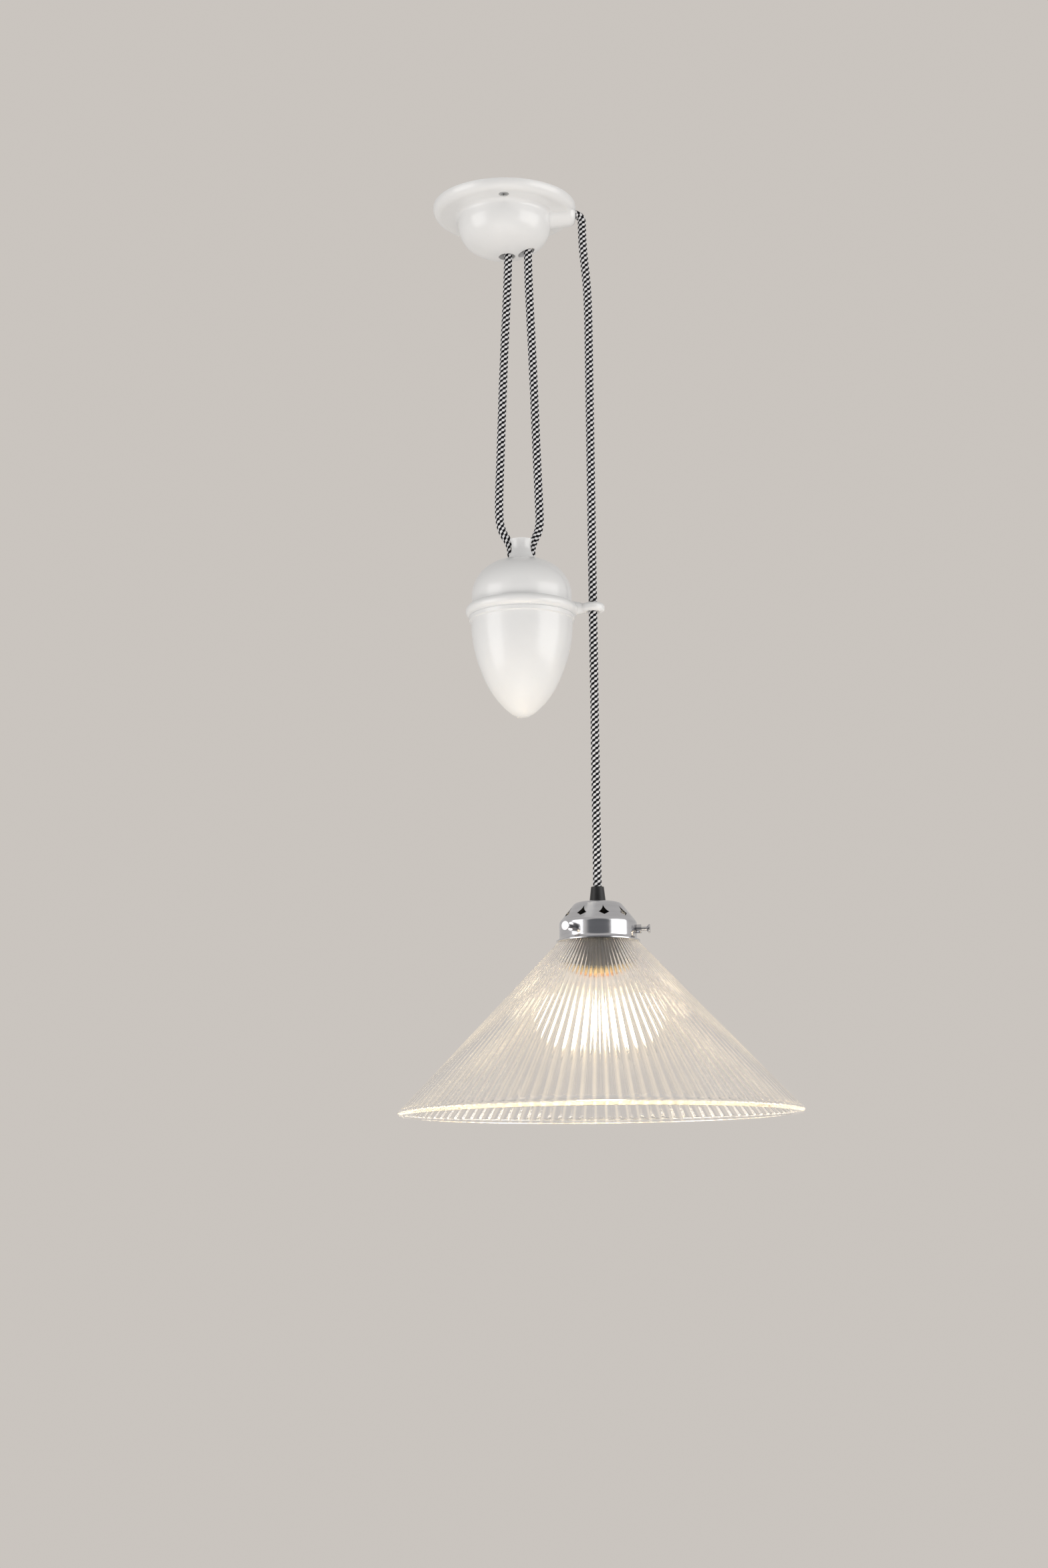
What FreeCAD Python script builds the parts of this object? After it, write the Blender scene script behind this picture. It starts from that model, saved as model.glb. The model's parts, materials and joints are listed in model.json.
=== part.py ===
"""Rise and fall pendant: ceiling rose, acorn counterweight, pierced gallery and ribbed glass shade.

Millimetres. The origin is the middle of the rose's back, on the ceiling, and +Z is up, so every
hanging size below is a drop. The one flex starts in a clamp inside the rose, goes down round the
weight's pulley, back up over the rose's pulley, out of the side of the rose and down through the
weight's guide eye to the lamp. A lamp pulled down lifts the weight by half as much.
"""
import FreeCAD, Part
import math
import os
import Sketcher

from FreeCAD import Placement, Rotation, Vector

os.makedirs("parts", exist_ok=True)
doc = FreeCAD.newDocument("RiseAndFallPendant")


# ---------------------------------------------------------------------------------------------
# The sheet of driving sizes

class Size:
    """A number in millimetres that also carries its formula in the sheet."""

    def __init__(self, value, formula):
        self.value = value
        self.formula = formula

    def __add__(self, other):
        other = as_size(other)
        return Size(self.value + other.value, "(" + self.formula + " + " + other.formula + ")")

    def __sub__(self, other):
        other = as_size(other)
        return Size(self.value - other.value, "(" + self.formula + " - " + other.formula + ")")

    def __mul__(self, other):
        other = as_size(other)
        return Size(self.value * other.value, "(" + self.formula + " * " + other.formula + ")")

    def __truediv__(self, other):
        other = as_size(other)
        return Size(self.value / other.value, "(" + self.formula + " / " + other.formula + ")")

    def __neg__(self):
        return Size(-self.value, "(0 - " + self.formula + ")")

    def __radd__(self, other):
        return as_size(other) + self

    def __rsub__(self, other):
        return as_size(other) - self

    def __rmul__(self, other):
        return as_size(other) * self


def as_size(item):
    """A plain number as a Size, so that both can stand in one formula."""
    if isinstance(item, Size):
        return item
    return Size(float(item), "(" + format(float(item), ".6f") + ")")


sheet = doc.addObject("Spreadsheet::Sheet", "Sizes")
sheet_rows = []


def size(alias, value, note):
    """One named size: a row of the sheet with its alias, its plain number and what it is."""
    row = len(sheet_rows) + 1
    sheet_rows.append(alias)
    sheet.set("A" + str(row), alias)
    sheet.set("B" + str(row), str(value))
    sheet.setAlias("B" + str(row), alias)
    sheet.set("C" + str(row), note)
    return Size(float(value), "Sizes." + alias)


# The flex and its way through the pendant
cord_d = size("cord_d", 6.5, "outside of the braided flex")
anchor_x = size("anchor_x", 3.0, "strand that hangs from the clamp")
turn_r = size("turn_r", 7.75, "middle of the flex round a pulley, and over the rose's lip")
lamp_x = size("lamp_x", 66.0, "lamp's axis, from the rose's axis")
run_drop = size("run_drop", 6.0, "level run inside the rose, below the ceiling")
fit_gap = size("fit_gap", 0.05, "round a pin, screw or stem in its hole")
seat_gap = size("seat_gap", 0.3, "between pieces that are only laid together")

# Rose
plate_r = size("plate_r", 57.0, "round ceramic plate")
plate_t = size("plate_t", 8.5, "its thickness")
plate_lip = size("plate_lip", 1.0, "straight part of its edge, at the ceiling")
dome_r = size("dome_r", 37.0, "bowl under the plate")
dome_foot = size("dome_foot", 3.5, "soft corner between bowl and plate")
dome_side = size("dome_side", 15.0, "drop at which the bowl starts to turn in")
dome_turn_r = size("dome_turn_r", 26.5, "radius of the bowl's shoulder")
dome_turn_drop = size("dome_turn_drop", 34.2, "drop of the bowl's shoulder")
rose_drop = size("rose_drop", 42.0, "lowest point of the bowl")
rose_wall = size("rose_wall", 4.0, "ceramic wall")
shoulder_in = size("shoulder_in", 3.2, "hollow's shoulder, inside the bowl's")
shoulder_up = size("shoulder_up", 2.4, "hollow's shoulder, above the bowl's")
room_drop = size("room_drop", 19.5, "room for the pulley, below the ceiling")
recess_r = size("recess_r", 51.0, "recess in the back for the bracket")
recess_t = size("recess_t", 3.6, "its depth")
strand_hole_r = size("strand_hole_r", 6.6, "hole in the bowl for each strand")
strand_hole_shift = size("strand_hole_shift", 1.2, "each hole stands off its strand, towards the middle")
boss_drop = size("boss_drop", 19.0, "drop of the round swelling over the cord's way out, at the bowl")
boss_end_drop = size("boss_end_drop", 16.0, "drop of the swelling near the rim")
boss_end_x = size("boss_end_x", 52.0, "where it turns up into the rim")
exit_lip_r = size("exit_lip_r", 5.2, "its end round the hole, flush with the rim")
exit_hole_r = size("exit_hole_r", 3.8, "hole that the cord leaves by")

# Bracket, pulleys and what hangs in the rose
steel_t = size("steel_t", 2.0, "pressed mounting bracket")
strap_half = size("strap_half", 9.0, "half the bracket's arm width")
strap_reach = size("strap_reach", 49.5, "half the bracket's long arm")
tongue_left = size("tongue_left", 28.0, "arm under the terminal block")
tongue_right = size("tongue_right", 33.0, "arm over the pulley")
fixing_spacing = size("fixing_spacing", 51.0, "ceiling screws, middle to middle")
fixing_slot_w = size("fixing_slot_w", 4.5, "width of their slots")
fixing_slot_l = size("fixing_slot_l", 12.0, "length of their slots")
cover_screw_y = size("cover_screw_y", 45.0, "screw that holds the cover, from the middle")
cover_screw_r = size("cover_screw_r", 2.0, "its thread")
cover_head_r = size("cover_head_r", 3.9, "its countersunk head")
lug_half = size("lug_half", 4.6, "half the width of each pulley lug")
lug_t = size("lug_t", 1.6, "lug's thickness")
pulley_w = size("pulley_w", 8.4, "pulley's width")
pulley_gap = size("pulley_gap", 0.6, "running gap beside a pulley")
groove_r = size("groove_r", 3.35, "pulley's groove")
axle_r = size("axle_r", 2.0, "pulley's pin")
axle_tail = size("axle_tail", 1.6, "pin past the lug, for its clip")
clip_r = size("clip_r", 3.6, "spring clip on the pin")
clip_t = size("clip_t", 0.8, "clip's thickness")
clamp_half = size("clamp_half", 9.0, "half the clamp's length, along X")
clamp_t = size("clamp_t", 7.0, "each half of the clamp, along Y")
clamp_drop = size("clamp_drop", 16.0, "bottom of the clamp")
clamp_cap = size("clamp_cap", 4.0, "solid part of the clamp above the flex")
clamp_screw_r = size("clamp_screw_r", 1.5, "clamp screw")
clamp_screw_x = size("clamp_screw_x", 6.2, "clamp screw, from the flex")
clamp_screw_drop = size("clamp_screw_drop", 9.0, "clamp screw, below the ceiling")
screw_head_r = size("screw_head_r", 2.7, "clamp screw's head")
screw_head_t = size("screw_head_t", 1.8, "its height")
block_left = size("block_left", 26.0, "far end of the terminal block")
block_right = size("block_right", 10.0, "near end of the terminal block")
block_half = size("block_half", 8.0, "half its width")
block_t = size("block_t", 9.0, "its height")
block_screw_r = size("block_screw_r", 1.8, "terminal screw")
block_screw_t = size("block_screw_t", 3.0, "its height")
block_screw_in = size("block_screw_in", 0.9, "how deep it sits in the block")
block_pitch = size("block_pitch", 5.0, "from one terminal to the next")
wire_hole_r = size("wire_hole_r", 1.45, "hole for a core")

# Counterweight: drops are from its pulley's pin
weight_drop = size("weight_drop", 285.0, "pin below the ceiling")
neck_top = size("neck_top", 8.0, "top of the neck, above the pin")
neck_top_r = size("neck_top_r", 10.1, "neck at its top")
waist_up = size("waist_up", 2.0, "waist, above the pin")
waist_r = size("waist_r", 8.7, "neck at its waist")
pin_seat = size("pin_seat", 2.4, "how deep the pin sits in the front cheek")
neck_curve = size("neck_curve", 14.9, "hollow curve from the cap to the waist")
cap_top_r = size("cap_top_r", 12.4, "where the neck grows out of the cap")
cap_top_drop = size("cap_top_drop", 8.3, "drop of that place")
cap_turn_r = size("cap_turn_r", 29.8, "cap's shoulder")
cap_turn_drop = size("cap_turn_drop", 16.3, "drop of the cap's shoulder")
cap_r = size("cap_r", 38.9, "cap at the ring")
cap_side_drop = size("cap_side_drop", 37.0, "drop at which the cap's side is upright")
ring_drop = size("ring_drop", 44.5, "top of the ring")
bead_foot_r = size("bead_foot_r", 40.2, "ring beside its bead")
bead_r = size("bead_r", 43.6, "bead's outside")
bead_h = size("bead_h", 8.7, "bead's height")
bead_curve = size("bead_curve", 4.48, "bead's roundness")
fillet_r = size("fillet_r", 40.9, "small step under the bead")
ring_h = size("ring_h", 13.1, "whole ring")
arm_up = size("arm_up", 2.0, "guide arm's middle, above the bead's middle")
arm_root_r = size("arm_root_r", 5.7, "guide arm at the ring")
arm_mid_r = size("arm_mid_r", 4.3, "guide arm where it clears the bead")
arm_mid_out = size("arm_mid_out", 2.6, "that place, out from the bead")
arm_tip_r = size("arm_tip_r", 3.0, "guide arm inside the eye's rim")
eye_line_r = size("eye_line_r", 6.5, "middle of the eye's rim")
eye_half_w = size("eye_half_w", 2.7, "half the rim's thickness, across")
eye_half_h = size("eye_half_h", 3.4, "half the rim's height")
acorn_r = size("acorn_r", 39.4, "acorn under the ring")
acorn_side = size("acorn_side", 1.0, "upright part under the ring")
acorn_mid_r = size("acorn_mid_r", 37.0, "acorn's upper part")
acorn_mid = size("acorn_mid", 22.4, "its drop below the ring")
acorn_low_r = size("acorn_low_r", 27.0, "acorn's lower part")
acorn_low = size("acorn_low", 50.4, "its drop below the ring")
acorn_nose_r = size("acorn_nose_r", 10.0, "acorn's nose")
acorn_nose = size("acorn_nose", 71.9, "its drop below the ring")
acorn_tip = size("acorn_tip", 75.9, "acorn's tip, below the ring")
weight_wall = size("weight_wall", 5.0, "ceramic wall of the acorn")
core_hole_r = size("core_hole_r", 33.6, "hollow for the iron core")
core_top_r = size("core_top_r", 25.0, "hollow at its top")
core_top_drop = size("core_top_drop", 21.0, "drop of the hollow's top")
core_curve = size("core_curve", 17.4, "roundness of the hollow's top")
core_side_drop = size("core_side_drop", 36.0, "drop at which its side is upright")
core_floor_r = size("core_floor_r", 12.5, "hollow's floor")
core_floor = size("core_floor", 62.0, "floor of the hollow, below the ring")
slot_reach = size("slot_reach", 12.0, "half the length of the pulley's slot")
slot_clear = size("slot_clear", 1.0, "slot's floor, below the flex")
bolt_r = size("bolt_r", 2.5, "long bolt through the weight")
bolt_head_r = size("bolt_head_r", 4.3, "its head, in the slot's floor")
bolt_head_t = size("bolt_head_t", 2.6, "head's height")
tip_hole_r = size("tip_hole_r", 5.0, "recess at the tip")
tip_hole_t = size("tip_hole_t", 7.0, "its depth")
nut_r = size("nut_r", 4.5, "hexagon nut, across its corners")
nut_t = size("nut_t", 3.6, "its height")
washer_t = size("washer_t", 0.8, "washer over the nut")
plug_t = size("plug_t", 1.2, "white plug that closes the recess")
plug_rise = size("plug_rise", 0.8, "how far its face is domed")
plug_curve = size("plug_curve", 16.0, "roundness of its face")

# Lamp: drops are from the gallery's top
lamp_drop = size("lamp_drop", 562.7, "gallery's top, below the ceiling")
grip_up = size("grip_up", 12.1, "cord grip's mouth, above the gallery")
grip_top_r = size("grip_top_r", 4.9, "cord grip at its mouth")
grip_foot_r = size("grip_foot_r", 6.3, "cord grip at the gallery")
grip_hold = size("grip_hold", 7.0, "how far the flex goes into the grip")
nipple_r = size("nipple_r", 4.6, "threaded tube through the gallery")
nipple_wall = size("nipple_wall", 0.8, "its wall")
sheet_t = size("sheet_t", 0.9, "spun metal of the gallery")
gallery_top_r = size("gallery_top_r", 16.9, "gallery's flat top, to the middle of its rounded edge")
gallery_edge = size("gallery_edge", 2.0, "drop of the rounded edge")
band_corner = size("band_corner", 4.0, "rounding between cone and band")
band_r = size("band_r", 29.4, "gallery's band")
band_top = size("band_top", 15.2, "its top edge")
band_low = size("band_low", 26.2, "where the lip flares")
lip_r = size("lip_r", 31.75, "lip's outside")
lip_drop = size("lip_drop", 28.9, "lip's lowest edge")
lip_curve = size("lip_curve", 2.7, "how the lip flares")
vent_count = size("vent_count", 9, "pierced vents round the gallery")
vent_turn = size("vent_turn", 9.0, "first vent, from the front")
vent_low = size("vent_low", 12.0, "vent's lowest point")
vent_h = size("vent_h", 8.2, "vent's height")
vent_half = size("vent_half", 4.1, "half the vent's width")
vent_sag = size("vent_sag", 2.2, "how far its foot points below its two tips")
screw_count = size("screw_count", 3, "thumb screws round the band")
screw_turn = size("screw_turn", -40.0, "first thumb screw, from the front")
screw_drop = size("screw_drop", 20.8, "thumb screws' drop")
screw_r = size("screw_r", 1.5, "thumb screw's thread")
screw_out = size("screw_out", 10.2, "how far its knob stands off the band")
knob_r = size("knob_r", 3.4, "its knob")
knob_t = size("knob_t", 2.6, "knob's length")
knob_flare = size("knob_flare", 0.9, "how the knob widens")
screw_point = size("screw_point", 0.6, "bevel of the screw's tip")
collar_r = size("collar_r", 3.3, "tapped bush on the band")
collar_t = size("collar_t", 3.6, "how far the bush stands off")
spigot_r = size("spigot_r", 2.4, "bush where it is riveted through the band")
neck_in_r = size("neck_in_r", 23.0, "hole through the shade's neck")
neck_out_r = size("neck_out_r", 26.2, "shade's neck")
neck_bead_r = size("neck_bead_r", 27.9, "bead round the top of the neck")
neck_bead_t = size("neck_bead_t", 3.4, "its height")
neck_drop = size("neck_drop", 15.6, "top of the glass")
neck_low = size("neck_low", 25.4, "where the neck spreads into the cone")
cone_top_r = size("cone_top_r", 30.0, "glass cone where it leaves the gallery")
shade_r = size("shade_r", 152.5, "rim of the shade")
shade_drop = size("shade_drop", 157.3, "rim's drop")
glass_t = size("glass_t", 4.8, "glass through a rib, square to the cone")
rib_h = size("rib_h", 2.2, "rib's height at the rim")
rib_count = size("rib_count", 104, "ribs round the glass")
rim_band = size("rim_band", 3.0, "smooth bead under the ribs")
holder_r = size("holder_r", 19.5, "lampholder's skirt")
holder_wall = size("holder_wall", 2.2, "its wall")
holder_top_r = size("holder_top_r", 9.0, "lampholder's shoulder")
holder_shoulder = size("holder_shoulder", 12.0, "shoulder's drop")
holder_joint = size("holder_joint", 24.0, "joint between its cap and its skirt")
holder_drop = size("holder_drop", 51.3, "skirt's lowest edge")
socket_r = size("socket_r", 14.4, "threaded metal shell inside")
socket_t = size("socket_t", 0.5, "shell's wall")
insert_t = size("insert_t", 5.0, "ceramic disc that carries the contacts")
contact_r = size("contact_r", 2.0, "brass contact")
contact_t = size("contact_t", 2.0, "its height")
bulb_cap_r = size("bulb_cap_r", 13.2, "bulb's screw cap")
bulb_cap_h = size("bulb_cap_h", 25.3, "its height")
bulb_cap_t = size("bulb_cap_t", 0.6, "its wall")
bulb_cap_end = size("bulb_cap_end", 4.4, "its tapered end")
bulb_neck_r = size("bulb_neck_r", 13.0, "bulb's neck")
bulb_neck = size("bulb_neck", 60.0, "drop at which the neck swells")
bulb_turn = size("bulb_turn", 0.44, "share of the swelling that curves outwards")
bulb_r = size("bulb_r", 29.0, "bulb's widest")
bulb_wide_drop = size("bulb_wide_drop", 94.0, "drop of its widest")
bulb_glass_t = size("bulb_glass_t", 1.0, "bulb's glass")
stem_r = size("stem_r", 3.0, "glass stem inside the bulb")
filament_r = size("filament_r", 0.8, "glowing filament")
filament_top = size("filament_top", 76.0, "top of the filaments")
filament_low = size("filament_low", 108.0, "foot of the filaments")

# Places worked out from the sizes
cord_r = cord_d / 2
return_x = anchor_x + 2 * turn_r
weight_x = anchor_x + turn_r
rose_pulley_x = return_x + turn_r
rose_pulley_drop = run_drop + turn_r
exit_turn_x = lamp_x - turn_r
lug_in = pulley_w / 2 + pulley_gap
bead_mid = ring_drop + bead_h / 2
acorn_top = ring_drop + ring_h
slot_floor = turn_r + cord_r + slot_clear

sheet.recompute()


# ---------------------------------------------------------------------------------------------
# Helpers for sketches and solids

def place(obj, x=0, y=0, z=0, turn=None):
    """Put an object at x, y, z, bound to the sheet, with an optional rotation."""
    x = as_size(x)
    y = as_size(y)
    z = as_size(z)
    obj.Placement = Placement(Vector(x.value, y.value, z.value), turn or Rotation())
    for axis, item in (("x", x), ("y", y), ("z", z)):
        if "Sizes." in item.formula:
            obj.setExpression("Placement.Base." + axis, item.formula)
    return obj


pieces = []


def named(obj, label):
    """Mark an object as one of the pendant's pieces."""
    obj.Label = label
    pieces.append(obj)
    return obj


def plane(body, role):
    """One of the body's own origin planes or axes."""
    return next(item for item in body.Origin.OriginFeatures if item.Role == role)


def line(x, y):
    """A straight step of an outline."""
    return ("line", as_size(x), as_size(y), None, 0)


def flow(x, y):
    """An arc that carries on in the direction of the step before it."""
    return ("flow", as_size(x), as_size(y), None, 0)


def arc(x, y, radius, side):
    """An arc of a given radius: side is 1 where it turns left and -1 where it turns right."""
    return ("arc", as_size(x), as_size(y), as_size(radius), side)


def arc_centre(start, end, radius, side):
    """Centre of the shorter arc from start to end."""
    chord = end - start
    middle = (start + end) * 0.5
    left = Vector(-chord.y, chord.x, 0).normalize()
    rise = math.sqrt(max(radius ** 2 - chord.Length ** 2 / 4, 0.0))
    return middle + left * (rise * side)


def sketch_on(body, name, role, offset=None):
    """An empty sketch on one of the body's planes; offset is (x, y, z) in the sketch's own frame."""
    sketch = body.newObject("Sketcher::SketchObject", name)
    sketch.AttachmentSupport = [(plane(body, role), "")]
    sketch.MapMode = "FlatFace"
    if offset:
        sizes = [as_size(item) for item in offset]
        sketch.AttachmentOffset = Placement(Vector(*[item.value for item in sizes]), Rotation())
        for axis, item in zip("xyz", sizes):
            if "Sizes." in item.formula:
                sketch.setExpression("AttachmentOffset.Base." + axis, item.formula)
    return sketch


def draw_outline(sketch, steps):
    """Draw a closed outline whose corners are all held by sizes of the sheet."""
    corners = [Vector(step[1].value, step[2].value, 0) for step in steps]
    heading = None
    ends = []
    count = len(steps)
    for index in range(count):
        step = steps[(index + 1) % count]
        start = corners[index]
        end = corners[(index + 1) % count]
        kind = step[0]
        if kind == "line":
            sketch.addGeometry(Part.LineSegment(start, end), False)
            heading = (end - start).normalize()
            ends.append((1, 2))
            continue
        chord = end - start
        if kind == "flow":
            left = Vector(-heading.y, heading.x, 0)
            bend = 2 * chord.dot(left) / chord.Length ** 2
            side = 1 if bend > 0 else -1
            centre = start + left * (1 / bend)
            radius = abs(1 / bend)
        else:
            side = step[4]
            radius = step[3].value
            centre = arc_centre(start, end, radius, side)
        spoke = end - centre
        heading = Vector(-spoke.y, spoke.x, 0).normalize() * side
        first, last = (start, end) if side > 0 else (end, start)
        from_angle = math.atan2(first.y - centre.y, first.x - centre.x)
        to_angle = math.atan2(last.y - centre.y, last.x - centre.x)
        if to_angle < from_angle:
            to_angle += 2 * math.pi
        circle = Part.Circle(centre, Vector(0, 0, 1), radius)
        sketch.addGeometry(Part.ArcOfCircle(circle, from_angle, to_angle), False)
        ends.append((1, 2) if side > 0 else (2, 1))
    rules = []
    formulas = []
    for index in range(count):
        after = (index + 1) % count
        joint = (index, ends[index][1], after, ends[after][0])
        smooth = steps[(after + 1) % count][0] == "flow"
        rules.append(Sketcher.Constraint("Tangent" if smooth else "Coincident", *joint))
        step = steps[index]
        for kind, item in (("DistanceX", step[1]), ("DistanceY", step[2])):
            formulas.append((len(rules), item.formula))
            rules.append(Sketcher.Constraint(kind, index, ends[index][0], item.value))
        shape_step = steps[after]
        if shape_step[0] == "arc":
            formulas.append((len(rules), shape_step[3].formula))
            rules.append(Sketcher.Constraint("Radius", index, shape_step[3].value))
    sketch.addConstraint(rules)
    for index, formula in formulas:
        if "Sizes." in formula:
            sketch.setExpression("Constraints[" + str(index) + "]", formula)
    return sketch


def draw_circles(sketch, circles):
    """Draw circles (x, y, radius) that are held by sizes of the sheet."""
    for index, circle in enumerate(circles):
        x, y, radius = [as_size(item) for item in circle]
        ring = Part.Circle(Vector(x.value, y.value, 0), Vector(0, 0, 1), radius.value)
        sketch.addGeometry(ring, False)
        rules = (("DistanceX", x), ("DistanceY", y))
        for kind, item in rules:
            number = sketch.addConstraint(Sketcher.Constraint(kind, index, 3, item.value))
            if "Sizes." in item.formula:
                sketch.setExpression("Constraints[" + str(number) + "]", item.formula)
        number = sketch.addConstraint(Sketcher.Constraint("Radius", index, radius.value))
        if "Sizes." in radius.formula:
            sketch.setExpression("Constraints[" + str(number) + "]", radius.formula)
    return sketch


def new_body(label):
    """A new piece that is built feature by feature."""
    return named(doc.addObject("PartDesign::Body", label), label)


def revolve(body, name, steps, offset=None):
    """Turn an outline of (radius, height) steps about the sketch's upright axis."""
    sketch = draw_outline(sketch_on(body, name + "Outline", "XZ_Plane", offset), steps)
    turned = body.newObject("PartDesign::Revolution", name)
    turned.Profile = sketch
    turned.ReferenceAxis = (sketch, ["V_Axis"])
    turned.Angle = 360
    doc.recompute()
    return turned


def pad(body, name, sketch, length, reverse=False, both=False):
    """Thicken a sketch into solid."""
    length = as_size(length)
    raised = body.newObject("PartDesign::Pad", name)
    raised.Profile = sketch
    raised.Length = length.value
    raised.setExpression("Length", length.formula)
    raised.Reversed = reverse
    raised.Midplane = both
    doc.recompute()
    return raised


def pocket(body, name, sketch, length, reverse=False, both=False):
    """Cut a sketch out of the solid, and make sure that it cut something."""
    before = body.Shape.Volume
    length = as_size(length)
    cut = body.newObject("PartDesign::Pocket", name)
    cut.Profile = sketch
    cut.Length = length.value
    cut.setExpression("Length", length.formula)
    cut.Reversed = reverse
    cut.Midplane = both
    doc.recompute()
    if body.Shape.Volume >= before:
        raise RuntimeError(name + " cut nothing")
    return cut


def repeat(body, name, feature, count):
    """Repeat a feature round the body's upright axis."""
    ring = body.newObject("PartDesign::PolarPattern", name)
    ring.Originals = [feature]
    ring.Axis = (plane(body, "Z_Axis"), [""])
    ring.Angle = 360
    ring.Occurrences = int(count.value)
    ring.setExpression("Occurrences", count.formula)
    body.Tip = ring
    doc.recompute()
    return ring


def round_ring(body, name, rounding, radius, height):
    """Round off the ring-shaped edge of a given radius at a given height."""
    numbers = []
    for index, edge in enumerate(body.Shape.Edges):
        if edge.Curve.TypeId == "Part::GeomCircle":
            off = abs(edge.Curve.Radius - radius.value) + abs(edge.Curve.Center.z - height.value)
            if off < fit_gap.value:
                numbers.append("Edge" + str(index + 1))
    turned = body.Tip
    fillet = body.newObject("PartDesign::Fillet", name)
    fillet.Base = (turned, numbers)
    fillet.Radius = rounding.value
    fillet.setExpression("Radius", rounding.formula)
    doc.recompute()


def cylinder(name, radius, height, x=0, y=0, z=0, turn=None):
    """A plain rod, from its foot upwards or along the direction that turn gives."""
    radius = as_size(radius)
    height = as_size(height)
    rod = doc.addObject("Part::Cylinder", name)
    rod.Radius = radius.value
    rod.Height = height.value
    rod.setExpression("Radius", radius.formula)
    rod.setExpression("Height", height.formula)
    return place(rod, x, y, z, turn)


def block(name, length, width, height, x, y, z):
    """A plain box, from its lowest corner."""
    box = doc.addObject("Part::Box", name)
    for key, item in (("Length", length), ("Width", width), ("Height", height)):
        item = as_size(item)
        setattr(box, key, item.value)
        box.setExpression(key, item.formula)
    return place(box, x, y, z)


def fused(name, shapes):
    joined = doc.addObject("Part::MultiFuse", name)
    joined.Shapes = shapes
    return joined


def grouped(name, shapes):
    group = doc.addObject("Part::Compound", name)
    group.Links = shapes
    return group


def cut_away(name, base, tool):
    result = doc.addObject("Part::Cut", name)
    result.Base = base
    result.Tool = tool
    return result


ALONG_X = Rotation(Vector(0, 1, 0), 90)
ALONG_Y = Rotation(Vector(1, 0, 0), -90)


# ---------------------------------------------------------------------------------------------
# Rose

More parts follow.
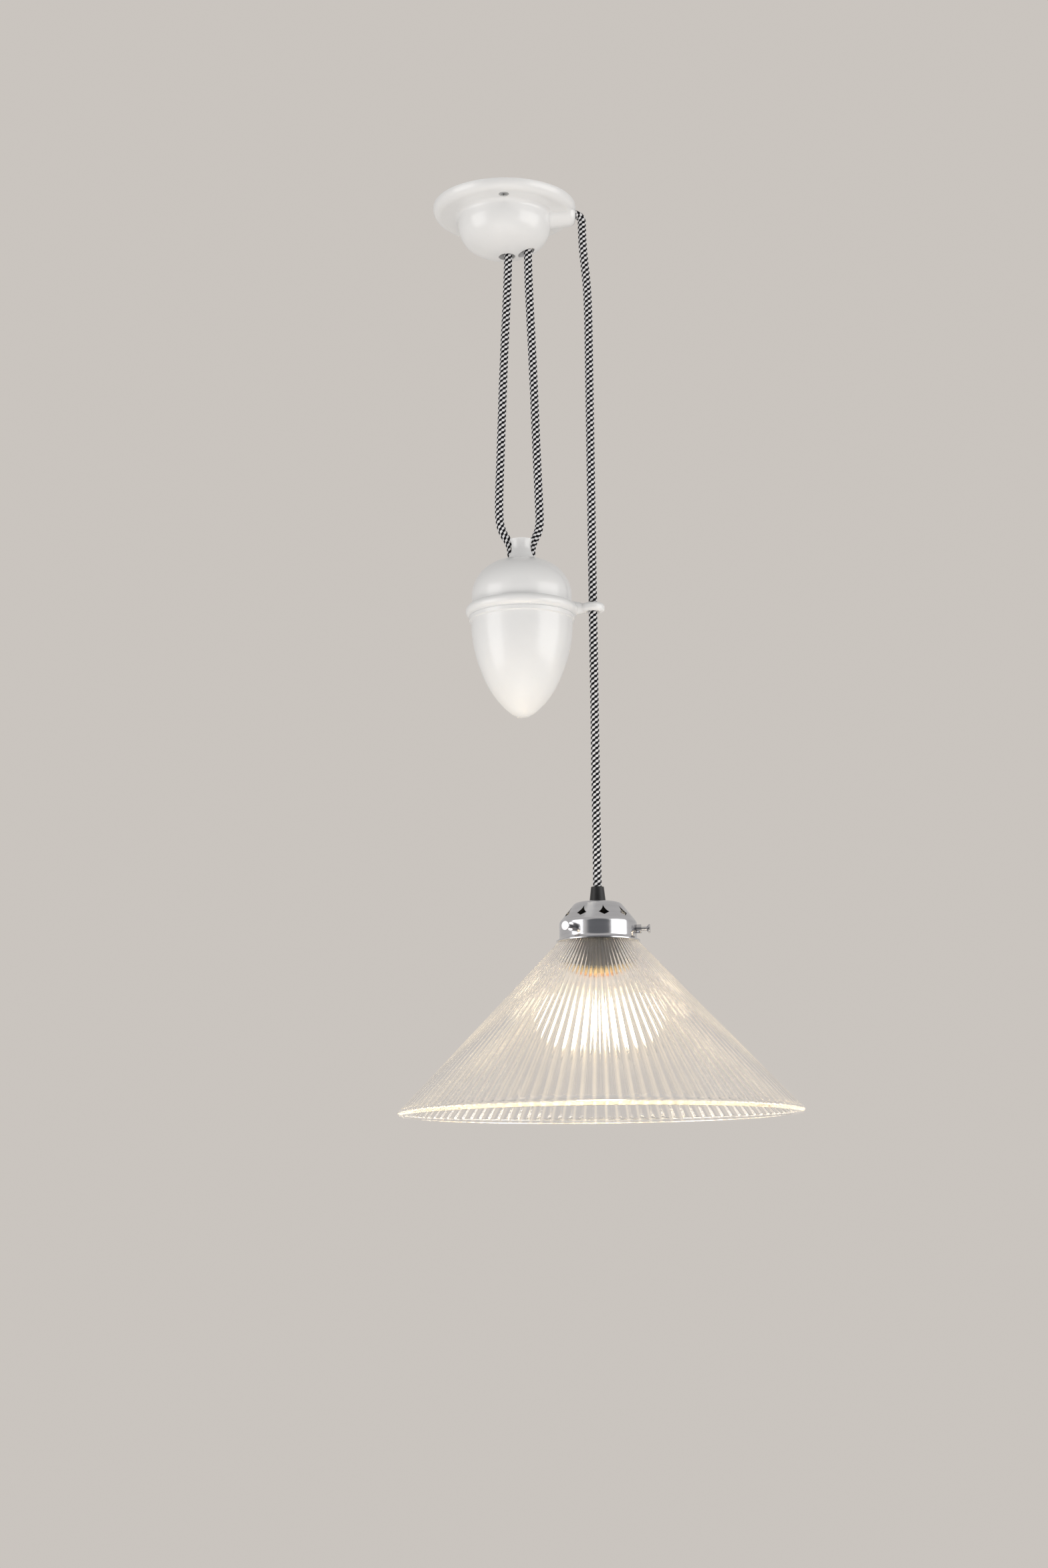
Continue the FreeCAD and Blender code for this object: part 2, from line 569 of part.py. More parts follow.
def make_rose():
    """Ceramic cover: plate and bowl in one, with a swelling that the cord leaves by."""
    body = new_body("rose_cover")
    edge = plate_t - plate_lip
    revolve(body, "RoseShell", [
        line(recess_r, 0),
        line(plate_r, 0),
        line(plate_r, -plate_lip),
        flow(plate_r - edge, -plate_t),
        line(dome_r + dome_foot, -plate_t),
        flow(dome_r, -(plate_t + dome_foot)),
        line(dome_r, -dome_side),
        flow(dome_turn_r, -dome_turn_drop),
        flow(0, -rose_drop),
        line(0, -recess_t),
        line(recess_r, -recess_t),
    ])
    swelling = body.newObject("PartDesign::Revolution", "ExitSwelling")
    swelling.Profile = draw_outline(sketch_on(body, "ExitSwellingOutline", "XZ_Plane", (0, -run_drop, 0)), [
        line(dome_turn_r, 0),
        line(dome_turn_r, -(boss_drop - run_drop)),
        line(boss_end_x, -(boss_end_drop - run_drop)),
        flow(plate_r, -exit_lip_r),
        line(plate_r, 0),
    ])
    swelling.ReferenceAxis = (swelling.Profile[0], ["H_Axis"])
    swelling.Angle = 180
    swelling.Midplane = True
    doc.recompute()
    lip = draw_outline(sketch_on(body, "ExitLipOutline", "XZ_Plane"), [
        line(boss_end_x, -plate_lip),
        line(boss_end_x, -run_drop),
        line(plate_r, -run_drop),
        line(plate_r, -plate_lip),
    ])
    pad(body, "ExitLip", lip, 2 * exit_lip_r, both=True)
    hollow = body.newObject("PartDesign::Groove", "RoseHollow")
    hollow.Profile = draw_outline(sketch_on(body, "RoseHollowOutline", "XZ_Plane"), [
        line(0, 1),
        line(dome_r - rose_wall, 1),
        line(dome_r - rose_wall, -dome_side),
        flow(dome_turn_r - shoulder_in, -(dome_turn_drop - shoulder_up)),
        flow(0, -(rose_drop - rose_wall)),
    ])
    hollow.ReferenceAxis = (hollow.Profile[0], ["V_Axis"])
    hollow.Angle = 360
    doc.recompute()
    wheel_room = draw_outline(sketch_on(body, "PulleyRoomOutline", "XZ_Plane"), [
        line(dome_turn_r - rose_wall, 1),
        line(rose_pulley_x + turn_r + pulley_gap, 1),
        line(rose_pulley_x + turn_r + pulley_gap, -room_drop),
        line(dome_turn_r - rose_wall, -room_drop),
    ])
    pocket(body, "PulleyRoom", wheel_room, pulley_w + 2 * pulley_gap, both=True)
    strand_holes = draw_circles(sketch_on(body, "StrandHolesOutline", "XY_Plane"), [
        (anchor_x - strand_hole_shift, 0, strand_hole_r),
        (return_x - strand_hole_shift, 0, strand_hole_r),
    ])
    pocket(body, "StrandHoles", strand_holes, rose_drop + 1)
    exit_hole = draw_circles(sketch_on(body, "ExitHoleOutline", "YZ_Plane"), [
        (0, -run_drop, exit_hole_r),
    ])
    pocket(body, "ExitHole", exit_hole, plate_r + 1, reverse=True)
    screw_holes = draw_circles(sketch_on(body, "ScrewHolesOutline", "XY_Plane"), [
        (0, cover_screw_y, cover_screw_r + 5 * fit_gap),
        (0, -cover_screw_y, cover_screw_r + 5 * fit_gap),
    ])
    pocket(body, "ScrewHoles", screw_holes, plate_t + 1)
    for side, mark in ((1, "Back"), (-1, "Front")):
        sink = body.newObject("PartDesign::SubtractiveCone", "Countersink" + mark)
        sink.Radius1 = 1
        sink.Radius2 = 1
        sink.Height = 1
        low = cover_head_r + 4 * fit_gap
        sink.setExpression("Radius1", low.formula)
        sink.setExpression("Radius2", (cover_screw_r + 4 * fit_gap).formula)
        sink.setExpression("Height", (cover_head_r - cover_screw_r).formula)
        sink.AttachmentSupport = [(plane(body, "XY_Plane"), "")]
        sink.MapMode = "FlatFace"
        sink.AttachmentOffset = Placement(Vector(0, side * cover_screw_y.value, -plate_t.value), Rotation())
        sink.setExpression("AttachmentOffset.Base.y", (side * cover_screw_y).formula)
        sink.setExpression("AttachmentOffset.Base.z", (-plate_t).formula)
        doc.recompute()


def make_bracket():
    """Pressed steel cross on the ceiling, with two lugs for the pulley and a tab for the clamp."""
    body = new_body("mounting_bracket")
    strap = draw_outline(sketch_on(body, "LongArmOutline", "XY_Plane"), [
        line(-strap_half, -strap_reach),
        line(strap_half, -strap_reach),
        line(strap_half, strap_reach),
        line(-strap_half, strap_reach),
    ])
    pad(body, "LongArm", strap, steel_t, reverse=True)
    tongue = draw_outline(sketch_on(body, "CrossArmOutline", "XY_Plane"), [
        line(-tongue_left, -strap_half),
        line(tongue_right, -strap_half),
        line(tongue_right, strap_half),
        line(-tongue_left, strap_half),
    ])
    pad(body, "CrossArm", tongue, steel_t, reverse=True)
    for side, mark in ((1, "Front"), (-1, "Back")):
        start = lug_in if side > 0 else -(lug_in + lug_t)
        lug = draw_outline(sketch_on(body, "Lug" + mark + "Outline", "XZ_Plane", (0, 0, start)), [
            line(rose_pulley_x - lug_half, -steel_t / 2),
            line(rose_pulley_x - lug_half, -rose_pulley_drop),
            arc(rose_pulley_x, -(rose_pulley_drop + lug_half), lug_half, 1),
            flow(rose_pulley_x + lug_half, -rose_pulley_drop),
            line(rose_pulley_x + lug_half, -steel_t / 2),
        ])
        pad(body, "Lug" + mark, lug, lug_t)
    tab_y = -(clamp_t + seat_gap + lug_t)
    tab = draw_outline(sketch_on(body, "ClampTabOutline", "XZ_Plane", (0, 0, tab_y)), [
        line(anchor_x - clamp_half, -steel_t / 2),
        line(anchor_x - clamp_half, -(clamp_drop - clamp_cap / 2)),
        line(anchor_x + clamp_half, -(clamp_drop - clamp_cap / 2)),
        line(anchor_x + clamp_half, -steel_t / 2),
    ])
    pad(body, "ClampTab", tab, lug_t)
    tab_holes = draw_circles(sketch_on(body, "TabHolesOutline", "XZ_Plane", (0, 0, tab_y)), [
        (anchor_x - clamp_screw_x, -clamp_screw_drop, clamp_screw_r + fit_gap),
        (anchor_x + clamp_screw_x, -clamp_screw_drop, clamp_screw_r + fit_gap),
    ])
    pocket(body, "TabHoles", tab_holes, lug_t, reverse=True)
    axle_hole = draw_circles(sketch_on(body, "AxleHoleOutline", "XZ_Plane"), [
        (rose_pulley_x, -rose_pulley_drop, axle_r + fit_gap),
    ])
    pocket(body, "AxleHole", axle_hole, 4 * (lug_in + lug_t), both=True)
    slot_straight = (fixing_slot_l - fixing_slot_w) / 2
    for side, mark in ((1, "Back"), (-1, "Front")):
        near = side * fixing_spacing / 2 - slot_straight
        far = side * fixing_spacing / 2 + slot_straight
        slot_r = fixing_slot_w / 2
        slot = draw_outline(sketch_on(body, "FixingSlot" + mark + "Outline", "XY_Plane"), [
            flow(slot_r, near),
            line(slot_r, far),
            arc(0, far + slot_r, slot_r, 1),
            flow(-slot_r, far),
            line(-slot_r, near),
            arc(0, near - slot_r, slot_r, 1),
        ])
        pocket(body, "FixingSlot" + mark, slot, steel_t)
    screw_holes = draw_circles(sketch_on(body, "CoverHolesOutline", "XY_Plane"), [
        (0, cover_screw_y, cover_screw_r + fit_gap),
        (0, -cover_screw_y, cover_screw_r + fit_gap),
    ])
    pocket(body, "CoverHoles", screw_holes, steel_t)


def make_cover_screws():
    """Two countersunk screws that pull the cover up to the bracket."""
    screws = []
    for side, mark in ((1, "Back"), (-1, "Front")):
        y = side * cover_screw_y
        head = doc.addObject("Part::Cone", "CoverScrewHead" + mark)
        head.setExpression("Radius1", cover_head_r.formula)
        head.setExpression("Radius2", cover_screw_r.formula)
        head.setExpression("Height", (cover_head_r - cover_screw_r).formula)
        place(head, 0, y, -plate_t)
        shank_foot = plate_t - (cover_head_r - cover_screw_r) / 2
        shank = cylinder("CoverScrewShank" + mark, cover_screw_r, shank_foot - seat_gap, 0, y, -shank_foot)
        screws.append(fused("CoverScrew" + mark, [head, shank]))
    named(grouped("cover_screws", screws), "cover_screws")


def make_pulley(label, x, drop):
    """Grooved wheel that turns on a pin along Y."""
    body = new_body(label)
    revolve(body, label + "Wheel", [
        line(axle_r + fit_gap, -pulley_w / 2),
        line(turn_r, -pulley_w / 2),
        line(turn_r, -groove_r),
        arc(turn_r - groove_r, 0, groove_r, -1),
        flow(turn_r, groove_r),
        line(turn_r, pulley_w / 2),
        line(axle_r + fit_gap, pulley_w / 2),
    ])
    place(body, x, 0, -drop, ALONG_Y)


def ring(name, outer_r, inner_r, height, x, y, z, turn=None):
    """A plain washer or tube."""
    outer = cylinder(name + "Outside", outer_r, height, x, y, z, turn)
    inner = cylinder(name + "Bore", inner_r, height, x, y, z, turn)
    return cut_away(name, outer, inner)


def make_rose_axle():
    """Pin through the two lugs, with a spring clip at each end."""
    reach = lug_in + lug_t + axle_tail
    named(cylinder("rose_pulley_pin", axle_r, 2 * reach, rose_pulley_x, -reach, -rose_pulley_drop, ALONG_Y),
          "rose_pulley_pin")
    clips = []
    for mark, y in (("Back", lug_in + lug_t + fit_gap), ("Front", -(lug_in + lug_t + fit_gap + clip_t))):
        clips.append(ring("Clip" + mark, clip_r, axle_r + fit_gap, clip_t,
                          rose_pulley_x, y, -rose_pulley_drop, ALONG_Y))
    named(grouped("pin_clips", clips), "pin_clips")


def make_cord_clamp():
    """Two plastic halves that grip the flex, screwed to the bracket's tab."""
    height = clamp_drop - steel_t
    halves = (("cord_clamp_back", as_size(0)), ("cord_clamp_front", -clamp_t))
    left = anchor_x - clamp_half
    for label, y in halves:
        half = block(label + "Block", 2 * clamp_half, clamp_t, height, left, y, -clamp_drop)
        holes = [cylinder(label + "Bore", cord_r + fit_gap, height - clamp_cap, anchor_x, 0, -clamp_drop)]
        for mark, x in (("Left", anchor_x - clamp_screw_x), ("Right", anchor_x + clamp_screw_x)):
            holes.append(cylinder(label + mark, clamp_screw_r + fit_gap, clamp_t,
                                  x, y, -clamp_screw_drop, ALONG_Y))
        named(cut_away(label, half, fused(label + "Holes", holes)), label)
    screws = []
    for mark, x in (("Left", anchor_x - clamp_screw_x), ("Right", anchor_x + clamp_screw_x)):
        length = screw_head_t / 2 + 2 * clamp_t + seat_gap + lug_t
        shank = cylinder("ClampShank" + mark, clamp_screw_r, length,
                         x, -(clamp_t + screw_head_t / 2), -clamp_screw_drop, ALONG_Y)
        head = cylinder("ClampHead" + mark, screw_head_r, screw_head_t,
                        x, -(clamp_t + screw_head_t), -clamp_screw_drop, ALONG_Y)
        screws.append(fused("ClampScrew" + mark, [shank, head]))
    named(grouped("clamp_screws", screws), "clamp_screws")


def make_terminal_block():
    """Plastic block with three terminal screws, under the bracket's short arm."""
    length = block_left - block_right
    middle_x = -(block_left + block_right) / 2
    low_z = -(steel_t + block_t)
    body = block("TerminalBody", length, 2 * block_half, block_t, -block_left, -block_half, low_z)
    holes = []
    screws = []
    for number in (-1, 0, 1):
        y = number * block_pitch
        mark = str(number + 2)
        holes.append(cylinder("TerminalHole" + mark, block_screw_r + fit_gap, block_t / 2,
                              middle_x, y, low_z))
        holes.append(cylinder("WireHole" + mark, wire_hole_r, length,
                              -block_left, y, -(steel_t + block_t / 2), ALONG_X))
        screws.append(cylinder("TerminalScrew" + mark, block_screw_r, block_screw_t,
                               middle_x, y, low_z + block_screw_in))
    named(cut_away("terminal_block", body, fused("TerminalHoles", holes)), "terminal_block")
    named(grouped("terminal_screws", screws), "terminal_screws")


# ---------------------------------------------------------------------------------------------
# Counterweight

def hang_on_weight(body):
    place(body, weight_x, 0, -weight_drop)


def make_weight_cap():
    """Ceramic cap: two cheeks either side of the pulley's slot grow out of a dome."""
    body = new_body("weight_cap")
    bolt_hole = bolt_r + fit_gap
    revolve(body, "CapShell", [
        line(core_hole_r, -ring_drop),
        line(cap_r, -ring_drop),
        line(cap_r, -cap_side_drop),
        flow(cap_turn_r, -cap_turn_drop),
        flow(cap_top_r, -cap_top_drop),
        arc(waist_r, waist_up, neck_curve, -1),
        flow(neck_top_r, neck_top),
        line(bolt_hole, neck_top),
        line(bolt_hole, -core_top_drop),
        line(core_top_r, -core_top_drop),
        arc(core_hole_r, -core_side_drop, core_curve, -1),
    ])
    slot_half = pulley_w / 2 + pulley_gap
    slot = draw_outline(sketch_on(body, "PulleySlotOutline", "YZ_Plane"), [
        line(-slot_half, -slot_floor),
        line(slot_half, -slot_floor),
        line(slot_half, neck_top + 1),
        line(-slot_half, neck_top + 1),
    ])
    pocket(body, "PulleySlot", slot, 2 * slot_reach, both=True)
    pin_hole = draw_circles(sketch_on(body, "PinHoleOutline", "XZ_Plane", (0, 0, slot_half + pin_seat)), [
        (0, 0, axle_r + fit_gap),
    ])
    pocket(body, "PinHole", pin_hole, slot_half + pin_seat + neck_top_r)
    head_seat = draw_circles(sketch_on(body, "BoltSeatOutline", "XY_Plane", (0, 0, -slot_floor)), [
        (0, 0, bolt_head_r + fit_gap),
    ])
    pocket(body, "BoltSeat", head_seat, bolt_head_t)
    hang_on_weight(body)


def make_weight_ring():
    """Ceramic ring with its bead, and the arm with the eye that guides the lamp's flex."""
    body = new_body("weight_ring")
    step = (ring_h - bead_h) / 5
    revolve(body, "RingBand", [
        line(core_hole_r, -ring_drop),
        line(bead_foot_r, -ring_drop),
        arc(bead_r, -bead_mid, bead_curve, -1),
        flow(bead_foot_r, -(ring_drop + bead_h)),
        line(fillet_r, -(ring_drop + bead_h + step)),
        line(fillet_r, -(acorn_top - step)),
        line(acorn_r, -acorn_top),
        line(core_hole_r, -acorn_top),
    ])
    eye_x = lamp_x - weight_x
    arm_z = arm_up - bead_mid
    tip_x = eye_x - eye_line_r + eye_half_w / 2
    sections = []
    places = (("Root", cap_r + seat_gap, arm_root_r),
              ("Middle", bead_r + arm_mid_out, arm_mid_r),
              ("Tip", tip_x, arm_tip_r))
    for mark, x, radius in places:
        sketch = sketch_on(body, "Arm" + mark, "YZ_Plane", (0, arm_z, x))
        sections.append(draw_circles(sketch, [(0, 0, radius)]))
    arm = body.newObject("PartDesign::AdditiveLoft", "GuideArm")
    arm.Profile = sections[0]
    arm.Sections = sections[1:]
    doc.recompute()
    straight = eye_half_h - eye_half_w
    revolve(body, "GuideEye", [
        flow(eye_line_r - eye_half_w, -straight),
        line(eye_line_r - eye_half_w, straight),
        arc(eye_line_r, eye_half_h, eye_half_w, -1),
        flow(eye_line_r + eye_half_w, straight),
        line(eye_line_r + eye_half_w, -straight),
        arc(eye_line_r, -eye_half_h, eye_half_w, -1),
    ], (eye_x, arm_z, 0))
    hang_on_weight(body)


def make_acorn():
    """Ceramic acorn under the ring, hollow for the iron core, with a recess for the nut."""
    body = new_body("weight_acorn")
    tip = acorn_top + acorn_tip
    revolve(body, "AcornShell", [
        line(core_hole_r, -acorn_top),
        line(acorn_r, -acorn_top),
        line(acorn_r, -(acorn_top + acorn_side)),
        flow(acorn_mid_r, -(acorn_top + acorn_mid)),
        flow(acorn_low_r, -(acorn_top + acorn_low)),
        flow(acorn_nose_r, -(acorn_top + acorn_nose)),
        flow(0, -tip),
        line(0, -(acorn_top + core_floor)),
        line(core_floor_r, -(acorn_top + core_floor)),
        line(acorn_low_r - weight_wall, -(acorn_top + acorn_low)),
        line(acorn_mid_r - weight_wall, -(acorn_top + acorn_mid)),
        line(core_hole_r, -(acorn_top + acorn_side)),
    ])
    bolt_hole = draw_circles(sketch_on(body, "BoltHoleOutline", "XY_Plane"), [(0, 0, bolt_r + fit_gap)])
    pocket(body, "BoltHole", bolt_hole, tip + 1)
    recess = draw_circles(sketch_on(body, "TipRecessOutline", "XY_Plane", (0, 0, -tip)), [
        (0, 0, tip_hole_r),
    ])
    pocket(body, "TipRecess", recess, tip_hole_t, reverse=True)
    hang_on_weight(body)


def make_core():
    """Iron slug that fills the ceramic and gives the weight its mass."""
    body = new_body("iron_core")
    bolt_hole = bolt_r + fit_gap
    revolve(body, "CoreSlug", [
        line(bolt_hole, -(core_top_drop + seat_gap)),
        line(core_top_r - seat_gap, -(core_top_drop + seat_gap)),
        arc(core_hole_r - seat_gap, -core_side_drop, core_curve, -1),
        line(core_hole_r - seat_gap, -(acorn_top + acorn_side)),
        line(acorn_mid_r - weight_wall - seat_gap, -(acorn_top + acorn_mid)),
        line(acorn_low_r - weight_wall - seat_gap, -(acorn_top + acorn_low)),
        line(core_floor_r - seat_gap, -(acorn_top + core_floor)),
        line(bolt_hole, -(acorn_top + core_floor)),
    ])
    hang_on_weight(body)


def make_tip_plug():
    """White plug that closes the recess at the acorn's tip, under the nut."""
    body = new_body("tip_plug")
    tip = acorn_top + acorn_tip
    plug_r = tip_hole_r - fit_gap
    revolve(body, "PlugDisc", [
        line(0, -(tip - plug_rise - plug_t)),
        line(0, -tip),
        arc(plug_r, -(tip - plug_rise), plug_curve, 1),
        line(plug_r, -(tip - plug_rise - plug_t)),
    ])
    hang_on_weight(body)


def make_weight_fixings():
    """Pin of the pulley, and the long bolt with its washer and nut at the acorn's tip."""
    pin_start = pulley_w / 2 + pulley_gap + pin_seat - fit_gap
    pin_length = pin_start + waist_r
    named(cylinder("weight_pulley_pin", axle_r, pin_length, weight_x, -pin_start, -weight_drop, ALONG_Y),
          "weight_pulley_pin")
    recess_z = -(weight_drop + acorn_top + acorn_tip - tip_hole_t)
    washer_z = recess_z - washer_t
    nut_z = washer_z - nut_t
    head_z = -(weight_drop + slot_floor + bolt_head_t)
    end_z = nut_z - fit_gap * 4
    head = cylinder("BoltHead", bolt_head_r, bolt_head_t, weight_x, 0, head_z)
    shank = cylinder("BoltShank", bolt_r, head_z - end_z + bolt_head_t / 2, weight_x, 0, end_z)
    named(fused("weight_bolt", [head, shank]), "weight_bolt")
    named(ring("tip_washer", tip_hole_r - 3 * fit_gap, bolt_r + fit_gap, washer_t, weight_x, 0, washer_z),
          "tip_washer")
    hexagon = doc.addObject("Part::Prism", "NutBlank")
    hexagon.Polygon = 6
    hexagon.setExpression("Circumradius", nut_r.formula)
    hexagon.setExpression("Height", nut_t.formula)
    place(hexagon, weight_x, 0, nut_z)
    bore = cylinder("NutBore", bolt_r + fit_gap, nut_t, weight_x, 0, nut_z)
    named(cut_away("tip_nut", hexagon, bore), "tip_nut")


# ---------------------------------------------------------------------------------------------
# Lamp

def hang_on_lamp(body, turn=None):
    place(body, lamp_x, 0, -lamp_drop, turn)


def make_grip_and_nipple():
    """Black tapered cord grip, screwed on the tube that passes through the gallery."""
    body = new_body("cord_grip")
    bore = cord_r + fit_gap
    nipple_bore = nipple_r + fit_gap
    shoulder = grip_up - grip_hold - seat_gap
    revolve(body, "GripCone", [
        line(bore, grip_up),
        line(grip_top_r, grip_up),
        line(grip_foot_r, 0),
        line(nipple_bore, 0),
        line(nipple_bore, shoulder),
        line(bore, shoulder),
    ])
    hang_on_lamp(body)
    top = shoulder - seat_gap
    named(ring("nipple", nipple_r, nipple_r - nipple_wall, top + holder_shoulder, lamp_x, 0,
               -(lamp_drop + holder_shoulder)), "nipple")


def make_gallery():
    """Spun metal gallery: flat top, pierced cone, plain band and flared lip."""
    body = new_body("gallery")
    hole = nipple_r + fit_gap
    revolve(body, "GalleryShell", [
        line(hole, 0),
        line(gallery_top_r - gallery_edge, 0),
        flow(gallery_top_r + gallery_edge, -gallery_edge),
        line(band_r, -band_top),
        line(band_r, -band_low),
        arc(lip_r, -lip_drop, lip_curve, 1),
        line(lip_r, -(lip_drop + sheet_t)),
        arc(band_r - sheet_t, -band_low, lip_curve + sheet_t, -1),
        line(band_r - sheet_t, -(band_top + sheet_t / 3)),
        line(gallery_top_r + gallery_edge - sheet_t, -(gallery_edge + sheet_t / 2)),
        flow(gallery_top_r - gallery_edge, -sheet_t),
        line(hole, -sheet_t),
    ])
    round_ring(body, "BandCorner", band_corner, band_r, -band_top)
    tips = vent_low - vent_sag
    vent = draw_outline(sketch_on(body, "VentOutline", "XZ_Plane"), [
        arc(0, -(vent_low - vent_h), vent_h, 1),
        arc(vent_half, -tips, vent_h, 1),
        line(0, -vent_low),
        line(-vent_half, -tips),
    ])
    first_vent = pocket(body, "Vent", vent, band_r + 1, reverse=True)
    repeat(body, "Vents", first_vent, vent_count)
    rivet_hole = draw_circles(sketch_on(body, "BushHoleOutline", "XZ_Plane"), [(0, 0, spigot_r + fit_gap)])
    turn = screw_turn - vent_turn
    sideways = Rotation(Vector(0, 1, 0), turn.value)
    rivet_hole.AttachmentOffset = Placement(Vector(0, -screw_drop.value, 0), sideways)
    rivet_hole.setExpression("AttachmentOffset.Base.y", (-screw_drop).formula)
    rivet_hole.setExpression("AttachmentOffset.Rotation.Angle", turn.formula)
    first_hole = pocket(body, "BushHole", rivet_hole, band_r + 1, reverse=True)
    repeat(body, "BushHoles", first_hole, screw_count)
    hang_on_lamp(body, Rotation(Vector(0, 0, 1), vent_turn.value))


def outward(number):
    """Rotation that turns a piece's own Z to thumb screw number's direction on the band."""
    angle = screw_turn.value + 360 / screw_count.value * number
    return Rotation(Vector(0, 0, 1), angle).multiply(Rotation(Vector(1, 0, 0), 90))


def make_thumb_screws():
    """Thumb screws that hold the glass by its bead, and the tapped bushes that they run in."""
    bushes = []
    screw_z = -(lamp_drop + screw_drop)
    for number in range(int(screw_count.value)):
        mark = str(number + 1)
        bush = new_body("ThumbBush" + mark)
        pieces.remove(bush)
        revolve(bush, "BushTurning" + mark, [
            line(screw_r + fit_gap, band_r - sheet_t - seat_gap),
            line(spigot_r, band_r - sheet_t - seat_gap),
            line(spigot_r, band_r),
            line(collar_r, band_r),
            line(collar_r, band_r + collar_t),
            line(screw_r + fit_gap, band_r + collar_t),
        ])
        place(bush, lamp_x, 0, screw_z, outward(number))
        bushes.append(bush)
        screw = new_body("thumb_screw_" + mark)
        knob_foot = band_r + screw_out - knob_t
        revolve(screw, "ScrewTurning" + mark, [
            line(0, neck_out_r + seat_gap),
            line(screw_r - screw_point, neck_out_r + seat_gap),
            line(screw_r, neck_out_r + seat_gap + screw_point),
            line(screw_r, knob_foot),
            line(knob_r - knob_flare, knob_foot + knob_flare),
            line(knob_r, knob_foot + 2 * knob_flare),
            line(knob_r, knob_foot + knob_t),
            line(0, knob_foot + knob_t),
        ])
        place(screw, lamp_x, 0, screw_z, outward(number))
    named(grouped("screw_bushes", bushes), "screw_bushes")


def turned_solid(points):
    """Solid of revolution about Z from a closed run of (radius, height) points."""
    corners = [Vector(radius, 0, height) for radius, height in points]
    face = Part.Face(Part.makePolygon(corners + corners[:1]))
    return face.revolve(Vector(0, 0, 0), Vector(0, 0, 1), 360)


def ribbed_cone(top_r, top_z, foot_r, foot_z, depth_at_foot, count):
    """Solid cone with straight ribs that narrow towards its point, one face to each flank."""
    sections = []
    for radius, height in ((top_r, top_z), (foot_r, foot_z)):
        valley = radius * (1 - depth_at_foot / foot_r)
        corners = []
        for index in range(2 * count):
            reach = radius if index % 2 == 0 else valley
            angle = math.pi * index / count
            corners.append(Vector(reach * math.sin(angle), -reach * math.cos(angle), height))
        sections.append(corners)
    top, foot = sections
    faces = [Part.Face(Part.makePolygon(top + top[:1])), Part.Face(Part.makePolygon(foot + foot[:1]))]
    for index in range(2 * count):
        after = (index + 1) % (2 * count)
        flank = [top[index], top[after], foot[after], foot[index], top[index]]
        faces.append(Part.Face(Part.makePolygon(flank)))
    return Part.Solid(Part.Shell(faces))


def make_shade():
    """Pressed glass cone: neck with its bead, tapering ribs and a smooth rim, in one piece."""
    cone_top = neck_low + (cone_top_r - neck_out_r)
    slope = math.atan2(shade_r.value - cone_top_r.value, shade_drop.value - cone_top.value)
    level_t = glass_t.value / math.cos(slope)
    level_rib = rib_h.value / math.cos(slope)
    rib_end = shade_drop.value - rim_band.value * math.cos(slope)
    rib_end_r = shade_r.value - rim_band.value * math.sin(slope)
    fluted = ribbed_cone(cone_top_r.value, -cone_top.value, rib_end_r, -rib_end, level_rib,
                         int(rib_count.value))
    inside = turned_solid([
        (0, -cone_top.value),
        (cone_top_r.value - level_t, -cone_top.value),
        (rib_end_r - level_t, -rib_end),
        (0, -rib_end),
    ])
    bead_low = neck_drop.value + neck_bead_t.value
    round_off = neck_bead_t.value / 4
    neck = turned_solid([
        (cone_top_r.value - level_t, -cone_top.value),
        (cone_top_r.value - level_rib * cone_top_r.value / shade_r.value, -cone_top.value),
        (neck_out_r.value, -neck_low.value),
        (neck_out_r.value, -bead_low),
        (neck_bead_r.value - round_off, -bead_low),
        (neck_bead_r.value, -(bead_low - round_off)),
        (neck_bead_r.value, -(neck_drop.value + round_off)),
        (neck_bead_r.value - round_off, -neck_drop.value),
        (neck_in_r.value, -neck_drop.value),
    ])
    rim_in_r = shade_r.value - glass_t.value * math.cos(slope)
    rim_in_drop = shade_drop.value + glass_t.value * math.sin(slope)
    rim = turned_solid([
        (rib_end_r - level_t, -rib_end),
        (rib_end_r, -rib_end),
        (shade_r.value, -shade_drop.value),
        (rim_in_r, -rim_in_drop),
    ])
    glass = fluted.cut(inside).fuse([neck, rim])
    shade = doc.addObject("Part::Feature", "shade")
    shade.Shape = glass.Solids[0] if len(glass.Solids) == 1 else glass
    named(shade, "shade")
    place(shade, lamp_x, 0, -lamp_drop)


def make_lampholder():
    """Two-piece holder on the nipple, with its ceramic insert, threaded shell and contact."""
    cap = new_body("holder_cap")
    hole = nipple_r + fit_gap
    revolve(cap, "HolderCapShell", [
        line(hole, -sheet_t),
        line(holder_top_r, -sheet_t),
        line(holder_r, -holder_shoulder),
        line(holder_r, -holder_joint),
        line(holder_r - holder_wall, -holder_joint),
        line(holder_r - holder_wall, -(holder_shoulder + holder_wall / 2)),
        line(holder_top_r - holder_wall / 2, -(sheet_t + holder_wall)),
        line(hole, -(sheet_t + holder_wall)),
    ])
    hang_on_lamp(cap)
    skirt_z = -(lamp_drop + holder_drop)
    named(ring("holder_skirt", holder_r, holder_r - holder_wall, holder_drop - holder_joint,
               lamp_x, 0, skirt_z), "holder_skirt")
    insert_low = holder_joint + insert_t
    named(ring("holder_insert", holder_r - holder_wall - fit_gap, contact_r + fit_gap, insert_t,
               lamp_x, 0, -(lamp_drop + insert_low)), "holder_insert")
    named(ring("threaded_shell", socket_r, socket_r - socket_t, holder_drop - insert_low - insert_t / 2,
               lamp_x, 0, -(lamp_drop + holder_drop - insert_t / 2)), "threaded_shell")
    named(cylinder("centre_contact", contact_r, insert_t + contact_t, lamp_x, 0,
                   -(lamp_drop + insert_low + contact_t)), "centre_contact")


